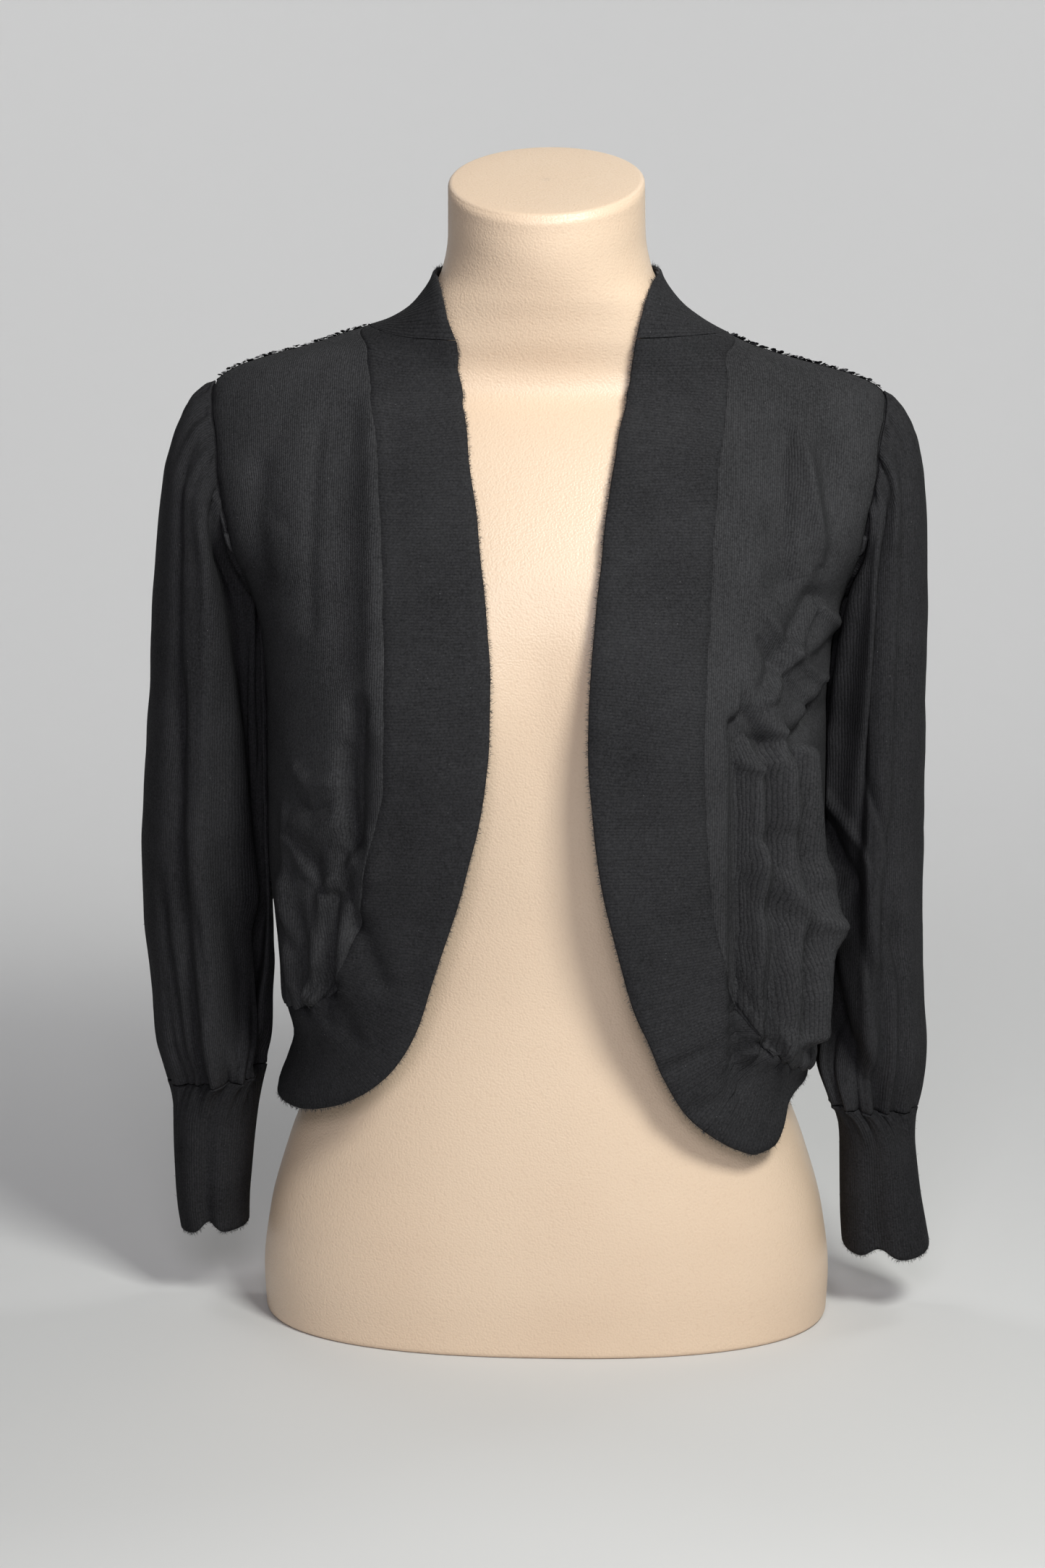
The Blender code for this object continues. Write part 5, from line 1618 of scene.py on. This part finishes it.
@dataclass
class Sequins:
    """Flat round sequins sewn close over the back, lapping like shingles."""

    back: BackPanel
    pitch: float = 4.0
    radius: float = 2.15
    corners: int = 8
    stand: float = 1.05
    rim_stand: float = 1.15
    rim_pitch: float = 0.75
    rim_scale: float = 0.72
    rim_tip: float = 2.0
    row_share: float = 0.82
    reach: float = 210.0
    low: float = 140.0
    high: float = 572.0
    lap: float = 0.17
    uneven: float = 0.16
    seed: int = 8

    def build(self) -> Object:
        """Lay a staggered pattern of (length, height), keep what lies on the panel, and tip each disc.

        A disc's corners are centre + size * (cosine * side + sine * rise), with
        side and rise at right angles to its tipped normal.

        Returns:
            All discs as one joined mesh.
        """
        arc, cloth = self.back.arc, self.back.left.cloth
        left, right, top, bottom = self.back.lines()
        edge = np.concatenate([left, bottom[1:], right[::-1][1:], top[::-1][1:-1]])
        base = arc.length(np.full(len(edge), 180.0), edge[:, 1])
        edge = np.stack([arc.length(edge[:, 0], edge[:, 1]) - base, edge[:, 1]], -1)
        row_pitch = self.row_share * self.pitch
        u, v = np.meshgrid(np.arange(-self.reach, self.reach, self.pitch),
                           np.arange(self.low, self.high, row_pitch))
        u = (u + self.pitch / 2 * (np.round((v - self.low) / row_pitch) % 2)).ravel()
        v = v.ravel()
        rng = np.random.default_rng(self.seed)
        u, v = u + rng.normal(0, 0.3, len(u)), v + rng.normal(0, 0.3, len(v))
        keep = self.within(u, v, edge)
        u, v = u[keep], v[keep]
        turn = arc.angle(u + arc.length(np.full(len(u), 180.0), v), v)
        rim = self.rim(rng)
        turn, v = np.append(turn, rim[:, 0]), np.append(v, rim[:, 1])
        u = np.append(u, 300.0 + np.arange(len(rim)))
        on_rim = np.arange(len(u)) >= len(u) - len(rim)
        middle = cloth.point(turn, v)
        across = unit(cloth.point(turn + 0.8, v) - cloth.point(turn - 0.8, v))
        up = unit(cloth.point(turn, v + 1) - cloth.point(turn, v - 1))
        out = unit(np.cross(up, across))
        out = np.where((out * middle * [1, 1, 0]).sum(-1, keepdims=True) > 0, out, -out)
        up = np.cross(out, across) * np.sign((np.cross(out, across) * up).sum(-1, keepdims=True))
        tip = rng.normal(0, self.uneven, (len(u), 2)) + [self.lap, 0.0]
        tip = np.where(on_rim[:, None], self.rim_tip * tip, tip)
        normal = unit(out + up * tip[:, :1] + across * tip[:, 1:])
        side = unit(np.cross(up, normal))
        rise = np.cross(normal, side)
        angle = 2 * math.pi * np.arange(self.corners) / self.corners
        size = self.radius * rng.uniform(0.92, 1.05, len(u))[:, None, None]
        size = np.where(on_rim[:, None, None], self.rim_scale * size, size)
        ring = np.cos(angle)[None, :, None] * side[:, None] + np.sin(angle)[None, :, None] * rise[:, None]
        stand = np.where(on_rim, self.rim_stand * rng.uniform(0.7, 1.5, len(u)), self.stand)
        centre = cloth.settle(middle) + out * stand[:, None]
        ring = centre[:, None] + ring * size
        points = ring.reshape(-1, 3)
        faces = np.arange(len(points)).reshape(-1, self.corners)
        outward = (np.cross(ring[:, 1] - ring[:, 0], ring[:, 2] - ring[:, 0]) * normal).sum(-1) > 0
        faces = np.where(outward[:, None], faces, faces[:, ::-1])
        place = np.repeat(np.stack([u, v], -1), self.corners, axis=0).reshape(-1, self.corners, 2)
        obj = make_object("sequins_back", points, faces, place, rounded=False)
        return wear(obj, "sequin_disc")

    def rim(self, rng: np.random.Generator) -> Array:
        """Discs that stick out past the shoulder ridges and the lower right side.

        Args:
            rng: Source of their uneven steps.

        Returns:
            Rows of (angle, z).
        """
        rows = []
        left, right = self.back.left, self.back.right
        lines = [(half, half.ridge(200)[6:-6], self.rim_pitch, 2.2) for half in (left, right)]
        lines.append((right, right.side(40, 200)[135:-14], 1.6 * self.rim_pitch, 1.0))
        for half, line, step, wander in lines:
            length = run_of(half.place(line))
            at = np.arange(0, length[-1], step)
            at = np.clip(at + rng.normal(0, 0.8, len(at)), 0, length[-1])
            angle, z = (np.interp(at, length, line[:, k]) for k in (0, 1))
            angle = angle + np.abs(rng.normal(0, wander, len(at))) - 0.8
            rows.append(np.stack([angle if half.sign > 0 else 360 - angle, z], -1))
        return np.concatenate(rows)

    def within(self, u: Array, v: Array, edge: Array) -> Array:
        """Whether points lie inside a closed line: it crosses a ray from each an odd number of times.

        Args:
            u: Place across.
            v: Height.
            edge: Points of the line, the last of which joins the first.

        Returns:
            True for the points inside.
        """
        a, b = edge, np.roll(edge, -1, axis=0)
        inside = np.zeros(len(u), bool)
        for (ax, ay), (bx, by) in zip(a, b):
            crosses = (ay > v) != (by > v)
            reach = ax + (v - ay) * (bx - ax) / (by - ay if by != ay else 1.0)
            inside ^= crosses & (u < reach)
        return inside


@dataclass
class Fibres:
    """Short loose fibres that stand off the knit, each a thin tapered strip."""

    on_edge: int = 13000
    on_skin: int = 2600
    edge_long: float = 3.0
    skin_long: float = 1.5
    wide: float = 0.2
    seed: int = 4

    def build(self, pieces: list[Object], edges: list[tuple[Object, int, int]]) -> Object:
        """Grow fibres from random points of the outer skins and of the free edges.

        Args:
            pieces: Shells that have fibres all over.
            edges: Shells with the first and the last point of a free edge.

        Returns:
            All fibres as one joined mesh.
        """
        rng = np.random.default_rng(self.seed)
        roots, ways, lengths = [], [], []
        spans = [(piece, 0, len(piece.data.vertices) // 2 - 1, self.on_skin // len(pieces), self.skin_long)
                 for piece in pieces]
        total = sum(last - first for _, first, last in edges)
        spans += [(piece, first, last, self.on_edge * (last - first) // total, self.edge_long)
                  for piece, first, last in edges]
        for piece, first, last, share, longest in spans:
            mesh = piece.data
            points, normals = np.empty((2, len(mesh.vertices) * 3))
            mesh.vertices.foreach_get("co", points)
            mesh.vertices.foreach_get("normal", normals)
            pick = rng.integers(first, last, share)
            roots.append(points.reshape(-1, 3)[pick] / MM)
            ways.append(normals.reshape(-1, 3)[pick])
            lengths.append(np.full(share, longest))
        root, way = np.concatenate(roots), np.concatenate(ways)
        root = root + rng.normal(0, 0.25, root.shape)
        lean = unit(way + rng.normal(0, 0.55, way.shape))
        flat = unit(np.cross(lean, rng.normal(0, 1, way.shape))) * self.wide / 2
        bend = unit(np.cross(lean, flat)) * rng.normal(0, 0.45, (len(root), 1))
        long = np.concatenate(lengths)[:, None] * rng.uniform(0.2, 1.0, (len(root), 1)) ** 1.6
        middle = root + (lean + 0.5 * bend) * long / 2
        tip = root + (lean + 1.6 * bend) * long * 0.9
        points = np.stack([root - flat, root + flat, middle + flat * 0.8, middle - flat * 0.8, tip], 1)
        n = np.arange(len(root))[:, None] * 5
        faces = [n + [0, 1, 2, 3], n + [3, 2, 4]]
        obj = make_object("loose_fibres", points.reshape(-1, 3), faces, rounded=False)
        return wear(obj, "loose_fibre")


@dataclass
class FormPiece:
    """The limbless dress form that the garment hangs on."""

    torso: Torso

    def build(self) -> Object:
        """Join the rings with quads and close both ends with a point.

        Returns:
            The form's object.
        """
        grid = self.torso.grid()
        rows, around = grid.shape[:2]
        corner = grid_corners(rows - 1, around)[::-1]
        quads = np.roll(np.stack([a * around + b % around for a, b in corner], -1), 1, axis=1)
        n = rows * around
        j = np.arange(around)
        k = (j + 1) % around
        low = np.stack([k, j, 0 * j + n], -1)
        high = np.stack([n - around + j, n - around + k, 0 * j + n + 1], -1)
        points = np.concatenate([grid.reshape(-1, 3), [grid[0].mean(axis=0)], [grid[-1].mean(axis=0)]])
        obj = make_object("dress_form", points, [quads, low, high])
        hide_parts("form")
        return wear(obj, "form_plastic")


class Held(Enum):
    """How a piece of cloth is held."""

    DRAPED = "draped"
    GATHERED = "gathered"


def wear(obj: Object, finish: str) -> Object:
    """Give a piece its finish and the body it rides on."""
    obj.data.materials.append(bpy.data.materials["finish_" + finish])
    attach(obj, "root")
    return obj


def dress(obj: Object, node: str, slot: str, finish: str = "") -> Object:
    """Args:
        obj: The shell.
        node: The solid it stands for.
        slot: Name of its finish where no other finish is given.
        finish: Its finish, where that has another name than the slot.

    Returns:
        The shell.
    """
    wear(obj, finish or slot)
    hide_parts(node)
    return obj


class Graph:
    """Short way to add and join the nodes of one tree."""

    def __init__(self, tree: bpy.types.NodeTree) -> None:
        """Keep the tree that nodes are added to."""
        self.tree = tree

    def add(self, kind: str, inputs: dict | None = None, **settings: object) -> Node:
        """Add a node, set its settings, and set or join its inputs.

        Args:
            kind: Type of the node.
            inputs: Value or socket of each input.
            settings: Its properties.

        Returns:
            The node.
        """
        node = self.tree.nodes.new(kind)
        for key, value in settings.items():
            setattr(node, key, value)
        for key, value in (inputs or {}).items():
            self.put(node.inputs[key], value)
        return node

    def put(self, socket: Socket, value: object) -> None:
        """Join a socket to another, or give it a value."""
        if isinstance(value, Socket):
            self.tree.links.new(value, socket)
        else:
            socket.default_value = value

    def math(self, operation: str, *values: object) -> Socket:
        """Output of a Math node on sockets or numbers."""
        node = self.tree.nodes.new("ShaderNodeMath")
        node.operation = operation
        for socket, value in zip(node.inputs, values):
            self.put(socket, value)
        return node.outputs[0]

    def plus(self, first: object, second: object) -> Socket:
        """Sum of two sockets or numbers."""
        return self.math("ADD", first, second)

    def minus(self, first: object, second: object) -> Socket:
        """Difference of two sockets or numbers."""
        return self.math("SUBTRACT", first, second)

    def times(self, first: object, second: object) -> Socket:
        """Product of two sockets or numbers."""
        return self.math("MULTIPLY", first, second)

    def scaled(self, vector: object, factors: Place) -> Socket:
        """Vector with each part multiplied by its own factor."""
        return self.add("ShaderNodeVectorMath", {0: vector, 1: factors}, operation="MULTIPLY").outputs[0]

    def span(self, value: object, low: float, high: float, to_low: float = 0.0,
             to_high: float = 1.0) -> Socket:
        """Map a value from one span to another, smoothly and held at both ends.

        Args:
            value: Socket or number.
            low: Start of its span.
            high: End of its span.
            to_low: Result at the start.
            to_high: Result at the end.

        Returns:
            The result.
        """
        node = self.add("ShaderNodeMapRange", {"Value": value, "From Min": low, "From Max": high,
                                               "To Min": to_low, "To Max": to_high})
        node.interpolation_type = "SMOOTHSTEP"
        return node.outputs["Result"]

    def noise(self, vector: object, scale: float, detail: float = 2.0) -> Socket:
        """Value of a noise texture."""
        node = self.add("ShaderNodeTexNoise", {"Vector": vector, "Scale": scale, "Detail": detail})
        return node.outputs["Fac"]

    def blend(self, share: object, first: object, second: object) -> Socket:
        """Mix two colours by a share."""
        node = self.add("ShaderNodeMix", data_type="RGBA")
        self.put(node.inputs[0], share)
        self.put(node.inputs[6], first)
        self.put(node.inputs[7], second)
        return node.outputs[2]


def new_finish(name: str) -> tuple[bpy.types.Material, Graph, Node]:
    """Start a finish: its material, the graph of its nodes and its shader."""
    material = bpy.data.materials.new("finish_" + name)
    material.use_nodes = True
    return material, Graph(material.node_tree), material.node_tree.nodes["Principled BSDF"]


def new_group(name: str, inputs: tuple[tuple[str, str, float], ...],
              outputs: tuple[tuple[str, str], ...]) -> tuple[Graph, Node, Node]:
    """Start a shader node group with named sockets.

    Args:
        name: Name of the group.
        inputs: Name, kind and value of each input.
        outputs: Name and kind of each output.

    Returns:
        Its graph, its input node and its output node.
    """
    tree = bpy.data.node_groups.new(name, "ShaderNodeTree")
    for label, kind, value in inputs:
        socket = tree.interface.new_socket(label, in_out="INPUT", socket_type="NodeSocket" + kind)
        if kind == "Float":
            socket.default_value = value
    for label, kind in outputs:
        tree.interface.new_socket(label, in_out="OUTPUT", socket_type="NodeSocket" + kind)
    graph = Graph(tree)
    return graph, graph.add("NodeGroupInput"), graph.add("NodeGroupOutput")


def stitch_group() -> bpy.types.NodeTree:
    """Knitted loops: rounded wales side by side, each a column of small V shapes.

    A wale's height is 1 - (2t - 1) squared over its width, and a loop's height
    is the same over its own height, with the loop drawn up towards the wale's
    middle. Noise bends the wales and makes them uneven. The second output marks the low parts, where darker
    colour is painted in as shade.

    Returns:
        The group's tree.
    """
    graph, given, out = new_group(
        "knitted_stitches",
        (("Cloth", "Vector", 0.0), ("Wale", "Float", 1.3), ("Course", "Float", 1.0),
         ("Uneven", "Float", 0.4)),
        (("Height", "Float"), ("Valley Shade", "Float")))
    cloth = graph.scaled(given.outputs["Cloth"], (1 / MM, 1 / MM, 1 / MM))
    place = graph.add("ShaderNodeSeparateXYZ", {0: cloth})
    drift = graph.times(graph.minus(graph.noise(cloth, 0.09, 3.0), 0.5), given.outputs["Uneven"])
    u = graph.plus(graph.math("DIVIDE", place.outputs["X"], given.outputs["Wale"]), graph.times(drift, 3.0))
    t = graph.minus(graph.times(graph.math("FRACT", u), 2.0), 1.0)
    arch = graph.minus(1.0, graph.times(t, t))
    v = graph.plus(graph.math("DIVIDE", place.outputs["Y"], given.outputs["Course"]),
                   graph.times(graph.math("ABSOLUTE", t), 0.45))
    v = graph.plus(v, graph.times(drift, 2.0))
    s = graph.minus(graph.times(graph.math("FRACT", v), 2.0), 1.0)
    loop = graph.minus(1.0, graph.times(s, s))
    height = graph.times(arch, graph.plus(graph.times(loop, 0.4), 0.6))
    grain = graph.times(graph.minus(graph.noise(cloth, 2.6, 2.0), 0.5), 0.5)
    height = graph.plus(height, grain)
    graph.put(out.inputs["Height"], height)
    # Mask of the grooves between wales and loops, where painted shade darkens the colour.
    graph.put(out.inputs["Valley Shade"], graph.span(height, 0.55, 0.05))
    return graph.tree


def age_group() -> bpy.types.NodeTree:
    """Handling of the cloth: specks of lint, soft fuzz and a slightly uneven dye.

    Returns:
        The group's tree.
    """
    graph, given, out = new_group(
        "handling", (("Place", "Vector", 0.0), ("Cloth", "Vector", 0.0), ("Lint", "Float", 0.5),
                     ("Dye", "Float", 0.5)),
        (("Lint", "Float"), ("Tone", "Float"), ("Fuzz", "Float")))
    place = given.outputs["Place"]
    cell = graph.add("ShaderNodeTexVoronoi", {"Vector": place, "Scale": 170.0, "Randomness": 1.0})
    chance = graph.add("ShaderNodeSeparateColor", {0: cell.outputs["Color"]}).outputs[0]
    speck = graph.span(cell.outputs["Distance"], 0.062, 0.030)
    speck = graph.times(speck, graph.math("GREATER_THAN", chance, 0.72))
    graph.put(out.inputs["Lint"], graph.times(speck, given.outputs["Lint"]))
    slow = graph.minus(graph.noise(place, 22.0, 4.0), 0.5)
    fine = graph.minus(graph.noise(place, 850.0, 3.0), 0.5)
    long = graph.scaled(given.outputs["Cloth"], (520.0, 60.0, 1.0))
    streak = graph.minus(graph.noise(long, 1.0, 3.0), 0.5)
    tone = graph.plus(graph.times(slow, 0.7), graph.times(fine, 1.7))
    tone = graph.plus(tone, graph.times(streak, 0.35))
    graph.put(out.inputs["Tone"], graph.plus(1.0, graph.times(tone, given.outputs["Dye"])))
    graph.put(out.inputs["Fuzz"], graph.span(graph.noise(place, 1400.0, 2.0), 0.35, 0.75))
    return graph.tree


@dataclass(frozen=True)
class KnitFinish:
    """Matte black knit.

    Attributes:
        name: Name of the finish.
        valley_shade: Darker colour painted between the wales as shade in the grooves.
        top: Colour on top of them.
        wale: Width of a wale, millimetres.
        course: Height of a loop, millimetres.
        depth: Depth of the stitches in the bump, millimetres.
        uneven: How much the wales wander.
        lint: How much the specks of lint show.
        speck: Colour of the lint.
    """

    name: str
    valley_shade: Colour
    top: Colour
    wale: float
    course: float
    depth: float
    uneven: float
    lint: float = 0.8
    speck: Colour = (0.115, 0.115, 0.120)

    def material(self) -> bpy.types.Material:
        """Stitches and handling join in the colour, roughness and bump.

        Returns:
            The finish.
        """
        material, graph, shader = new_finish(self.name)
        shader.inputs["Specular IOR Level"].default_value = 0.06
        place = graph.add("ShaderNodeTexCoord")
        cloth = graph.add("ShaderNodeUVMap", uv_map="cloth")
        stitch = graph.add("ShaderNodeGroup", {
            "Cloth": cloth.outputs[0], "Wale": self.wale, "Course": self.course, "Uneven": self.uneven,
        }, node_tree=bpy.data.node_groups["knitted_stitches"])
        age = graph.add("ShaderNodeGroup", {
            "Place": place.outputs["Object"], "Cloth": cloth.outputs[0], "Lint": self.lint, "Dye": 1.0,
        }, node_tree=bpy.data.node_groups["handling"])
        # Painted shade: the grooves between the wales take the darker colour.
        colour = graph.blend(stitch.outputs["Valley Shade"], (*self.top, 1), (*self.valley_shade, 1))
        toned = graph.add("ShaderNodeVectorMath", {0: colour}, operation="SCALE")
        graph.put(toned.inputs["Scale"], age.outputs["Tone"])
        colour = graph.blend(age.outputs["Lint"], toned.outputs[0], (*self.speck, 1))
        graph.put(shader.inputs["Base Color"], colour)
        graph.put(shader.inputs["Roughness"], graph.span(age.outputs["Fuzz"], 0.0, 1.0, 0.72, 0.95))
        height = graph.plus(stitch.outputs["Height"], graph.times(age.outputs["Fuzz"], 0.25))
        bump = graph.add("ShaderNodeBump", {"Height": height, "Distance": self.depth * MM, "Strength": 0.8})
        graph.put(shader.inputs["Normal"], bump.outputs[0])
        return material


@dataclass(frozen=True)
class SequinFinish:
    """Shiny black discs, some a little duller or warmer than others."""

    name: str = "sequin_disc"
    colour: Colour = (0.016, 0.016, 0.018)
    bright: Colour = (0.055, 0.055, 0.062)

    def material(self) -> bpy.types.Material:
        """Noise over the cloth picks how dark and how smooth each disc is.

        Returns:
            The finish.
        """
        material, graph, shader = new_finish(self.name)
        shader.inputs["Metallic"].default_value = 0.35
        shader.inputs["Coat Weight"].default_value = 0.5
        cloth = graph.add("ShaderNodeUVMap", uv_map="cloth")
        chance = graph.add("ShaderNodeTexWhiteNoise", {"Vector": cloth.outputs[0]}, noise_dimensions="3D")
        share = chance.outputs["Value"]
        graph.put(shader.inputs["Base Color"], graph.blend(share, (*self.colour, 1), (*self.bright, 1)))
        graph.put(shader.inputs["Roughness"], graph.span(share, 0.0, 1.0, 0.14, 0.34))
        return material


@dataclass(frozen=True)
class FibreFinish:
    """Loose black fibre."""

    name: str = "loose_fibre"
    colour: Colour = (0.03, 0.03, 0.033)

    def material(self) -> bpy.types.Material:
        """Colour varies a little from fibre to fibre.

        Returns:
            The finish.
        """
        material, graph, shader = new_finish(self.name)
        shader.inputs["Roughness"].default_value = 0.8
        place = graph.add("ShaderNodeTexCoord")
        share = graph.noise(place.outputs["Object"], 300.0, 1.0)
        lighter = tuple(2.2 * c for c in self.colour)
        graph.put(shader.inputs["Base Color"], graph.blend(share, (*self.colour, 1), (*lighter, 1)))
        return material


@dataclass(frozen=True)
class PlasticFinish:
    """Finely pebbled skin of the form, a little darker in its pits and by handling."""

    name: str = "form_plastic"
    colour: Colour = (0.80, 0.62, 0.46)
    shade: Colour = (0.72, 0.53, 0.38)
    pebble: float = 900.0
    depth: float = 0.22

    def material(self) -> bpy.types.Material:
        """Small cells make the pebbles, and slow noise the uneven colour.

        Returns:
            The finish.
        """
        material, graph, shader = new_finish(self.name)
        shader.inputs["Specular IOR Level"].default_value = 0.55
        place = graph.add("ShaderNodeTexCoord").outputs["Object"]
        cell = graph.add("ShaderNodeTexVoronoi", {"Vector": place, "Scale": self.pebble},
                         feature="SMOOTH_F1")
        pebble = graph.minus(1.0, cell.outputs["Distance"])
        slow = graph.span(graph.noise(place, 9.0, 4.0), 0.35, 0.7)
        pit = graph.span(pebble, 0.55, 0.25)
        share = graph.plus(graph.times(slow, 0.35), graph.times(pit, 0.3))
        graph.put(shader.inputs["Base Color"], graph.blend(share, (*self.colour, 1), (*self.shade, 1)))
        graph.put(shader.inputs["Roughness"], graph.span(slow, 0.0, 1.0, 0.38, 0.48))
        bump = graph.add("ShaderNodeBump", {"Height": pebble, "Distance": self.depth * MM, "Strength": 1.0})
        graph.put(shader.inputs["Normal"], bump.outputs[0])
        return material


@dataclass
class Studio:
    """Pale sweep, soft lights and the camera.

    Attributes:
        aim: Point the camera looks at, metres.
        azimuth: Degrees round from the front.
        elevation: Degrees above the horizon.
        distance: From the aim to the camera, metres.
        half_view: Half of the picture's height over the distance.
        light_aim: Point the two front lights shine at, metres.
        grey: Brightness of the sweep.
    """

    aim: Place = (-0.014, 0.0, 0.311)
    azimuth: float = 3.0
    elevation: float = 9.0
    distance: float = 1.7
    half_view: float = 0.42 * 1084 / 1700
    light_aim: Place = (0.0, 0.0, 0.42)
    grey: float = 0.70

    def camera(self) -> None:
        """Place the camera on a sphere round its aim."""
        data = bpy.data.cameras.new("camera")
        data.sensor_width = 36.0
        data.lens = 18.0 / self.half_view
        obj = bpy.data.objects.new("camera", data)
        bpy.context.scene.collection.objects.link(obj)
        a, e = math.radians(self.azimuth), math.radians(self.elevation)
        back = Vector((math.sin(a) * math.cos(e), -math.cos(a) * math.cos(e), math.sin(e)))
        obj.location = Vector(self.aim) + back * self.distance
        obj.rotation_euler = (-back).to_track_quat("-Z", "Y").to_euler()
        bpy.context.scene.camera = obj

    def sweep(self) -> None:
        """Floor that bends up into a wall: a profile of flat, quarter circle and upright."""
        bend, reach, high, front = 1.2, 3.0, 4.0, -6.0
        turn = np.linspace(0, math.pi / 2, 24)
        y = np.concatenate([[front, 0.0], reach - bend + bend * np.sin(turn), [reach]])
        z = np.concatenate([[0.0, 0.0], bend * (1 - np.cos(turn)), [high]])
        wide = np.linspace(-6, 6, 13)
        grid = np.stack([wide[None, :] + 0 * y[:, None], y[:, None] + 0 * wide, z[:, None] + 0 * wide], -1)
        rows, columns = grid.shape[:2]
        faces = np.stack([a * columns + b for a, b in grid_corners(rows - 1, columns - 1)[::-1]], -1)
        obj = make_object("studio_sweep", grid.reshape(-1, 3) / MM, faces)
        material, _, shader = new_finish("sweep")
        shader.inputs["Base Color"].default_value = (self.grey, self.grey, self.grey, 1)
        shader.inputs["Roughness"].default_value = 1.0
        shader.inputs["Specular IOR Level"].default_value = 0.0
        obj.data.materials.append(material)

    def lamp(self, name: str, place: Place, aim: Place, size: float, power: float, tint: Colour) -> None:
        """Add a square soft light.

        Args:
            name: Name of the light.
            place: Where it stands, metres.
            aim: Point it shines at, metres.
            size: Length of its sides, metres.
            power: Its power, watts.
            tint: Its colour.
        """
        data = bpy.data.lights.new(name, "AREA")
        data.size, data.energy, data.color = size, power, tint
        obj = bpy.data.objects.new(name, data)
        bpy.context.scene.collection.objects.link(obj)
        obj.location = place
        obj.rotation_euler = (Vector(aim) - Vector(place)).to_track_quat("-Z", "Y").to_euler()

    def build(self) -> None:
        """Set the sweep, the lights, the plain world and the camera."""
        self.sweep()
        aim = self.light_aim
        self.lamp("key", (0.60, -1.0, 1.30), aim, 0.42, 19.5, (0.985, 1.0, 0.955))
        self.lamp("fill", (0.0, -1.9, 1.15), aim, 0.6, 12.0, (0.965, 0.94, 1.0))
        for side, sign in (("left", -1), ("right", 1)):
            place, wall = (1.5 * sign, 1.3, 2.6), (0.8 * sign, 3.4, 0.8)
            self.lamp("sweep_" + side, place, wall, 1.2, 32.0, (1.0, 1.0, 1.0))
        world = bpy.data.worlds.new("studio")
        world.use_nodes = True
        world.node_tree.nodes["Background"].inputs[0].default_value = (0.95, 0.97, 1.0, 1)
        world.node_tree.nodes["Background"].inputs[1].default_value = 0.05
        bpy.context.scene.world = world
        bpy.context.scene.view_settings.view_transform = "Standard"
        self.camera()


def finishes() -> None:
    """Make the node groups and every finish of the part."""
    stitch_group()
    age_group()
    knit = KnitFinish("fine_knit", (0.0250, 0.0248, 0.0268), (0.0375, 0.0376, 0.0398), 1.3, 1.0, 0.30, 0.5)
    rib = KnitFinish("rib_knit", (0.0200, 0.0200, 0.0218), (0.0268, 0.0268, 0.0287), 1.75, 0.9, 0.18, 0.15)
    plain = KnitFinish("sequin_back", (0.006, 0.006, 0.006), (0.016, 0.016, 0.017), 1.3, 1.0, 0.4, 0.5)
    # Painted shade: a darker copy of the fine knit for the sleeves, for the shade they hang in.
    shaded_sleeve = replace(knit, name="sleeve_knit_painted_shade", valley_shade=(0.0180, 0.0178, 0.0196), top=(0.0270, 0.0269, 0.0290))
    # Painted shade: a darker copy of the rib knit for the cuffs, for the shade they hang in.
    cuff = replace(rib, name="cuff_knit_painted_shade", valley_shade=(0.0158, 0.0157, 0.0173), top=(0.0215, 0.0214, 0.0231))
    for finish in (knit, rib, plain, shaded_sleeve, cuff, SequinFinish(), FibreFinish(), PlasticFinish()):
        finish.material()


def main() -> None:
    """Build the form, then each piece of the garment, and dress the studio."""
    logging.basicConfig(level=logging.INFO, format="%(name)s: %(message)s")
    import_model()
    finishes()
    torso = Torso()
    FormPiece(torso).build()
    LOG.info("dress form built")
    cloth = Cloth(torso)
    arc = Arc(torso, cloth.sections, cloth.bust_rise)
    right = Half(cloth, -1.0, BAND_RIGHT, 16, "right")
    left = Half(cloth, 1.0, BAND_LEFT, 19, "left")
    back = BackPanel(right, left, arc)
    pieces, edges = [back.build()], []

    def add(part: Band | Cuff) -> None:
        """Build a rib piece and keep its free edge for the fibres."""
        pieces.append(part.build())
        edges.append((pieces[-1], *part.free_edge))

    add(HemBand(cloth, "band_hem_back", (0.36, 0.07), back=back))
    add(NeckBand(cloth, "band_neck", (0.34, 0.06), back=back, ends_in=(0.4, 0.4)))
    LOG.info("back, hem band and neck band built")
    halves = (
        (right, SLEEVE_RIGHT, CREASE_RIGHT, CUFF_RIGHT, ((0.52, 1, -5.0, 7), (0.45, -1, -3.0, 9)), 0.0),
        (left, SLEEVE_LEFT, CREASE_LEFT, CUFF_LEFT, ((0.40, 1, -3.4, 8), (0.60, -1, -3.0, 9)), 6.0),
    )
    for half, sleeve_rows, creases, cuff_rows, cuff_creases, sag in halves:
        pieces.append(FrontPanel(half, arc, (0.17, 0.44), 0.05).build())
        add(FrontBand(cloth, "band_front_" + half.word, (0.06, 0.66), half=half))
        sleeve = Sleeve(half, sleeve_rows, creases, (0.25, 0.45), 0.09)
        pieces.append(sleeve.build())
        ArmholeSeam(sleeve).build()
        add(Cuff(sleeve, cuff_rows, cuff_creases, sag, (0.16, 0.10)))
        LOG.info("%s front, band, sleeve and cuff built", half.word)
    Sequins(back).build()
    Fibres().build(pieces[1:], edges)
    LOG.info("sequins and loose fibres built")
    Studio().build()


if __name__ == "__main__":
    main()
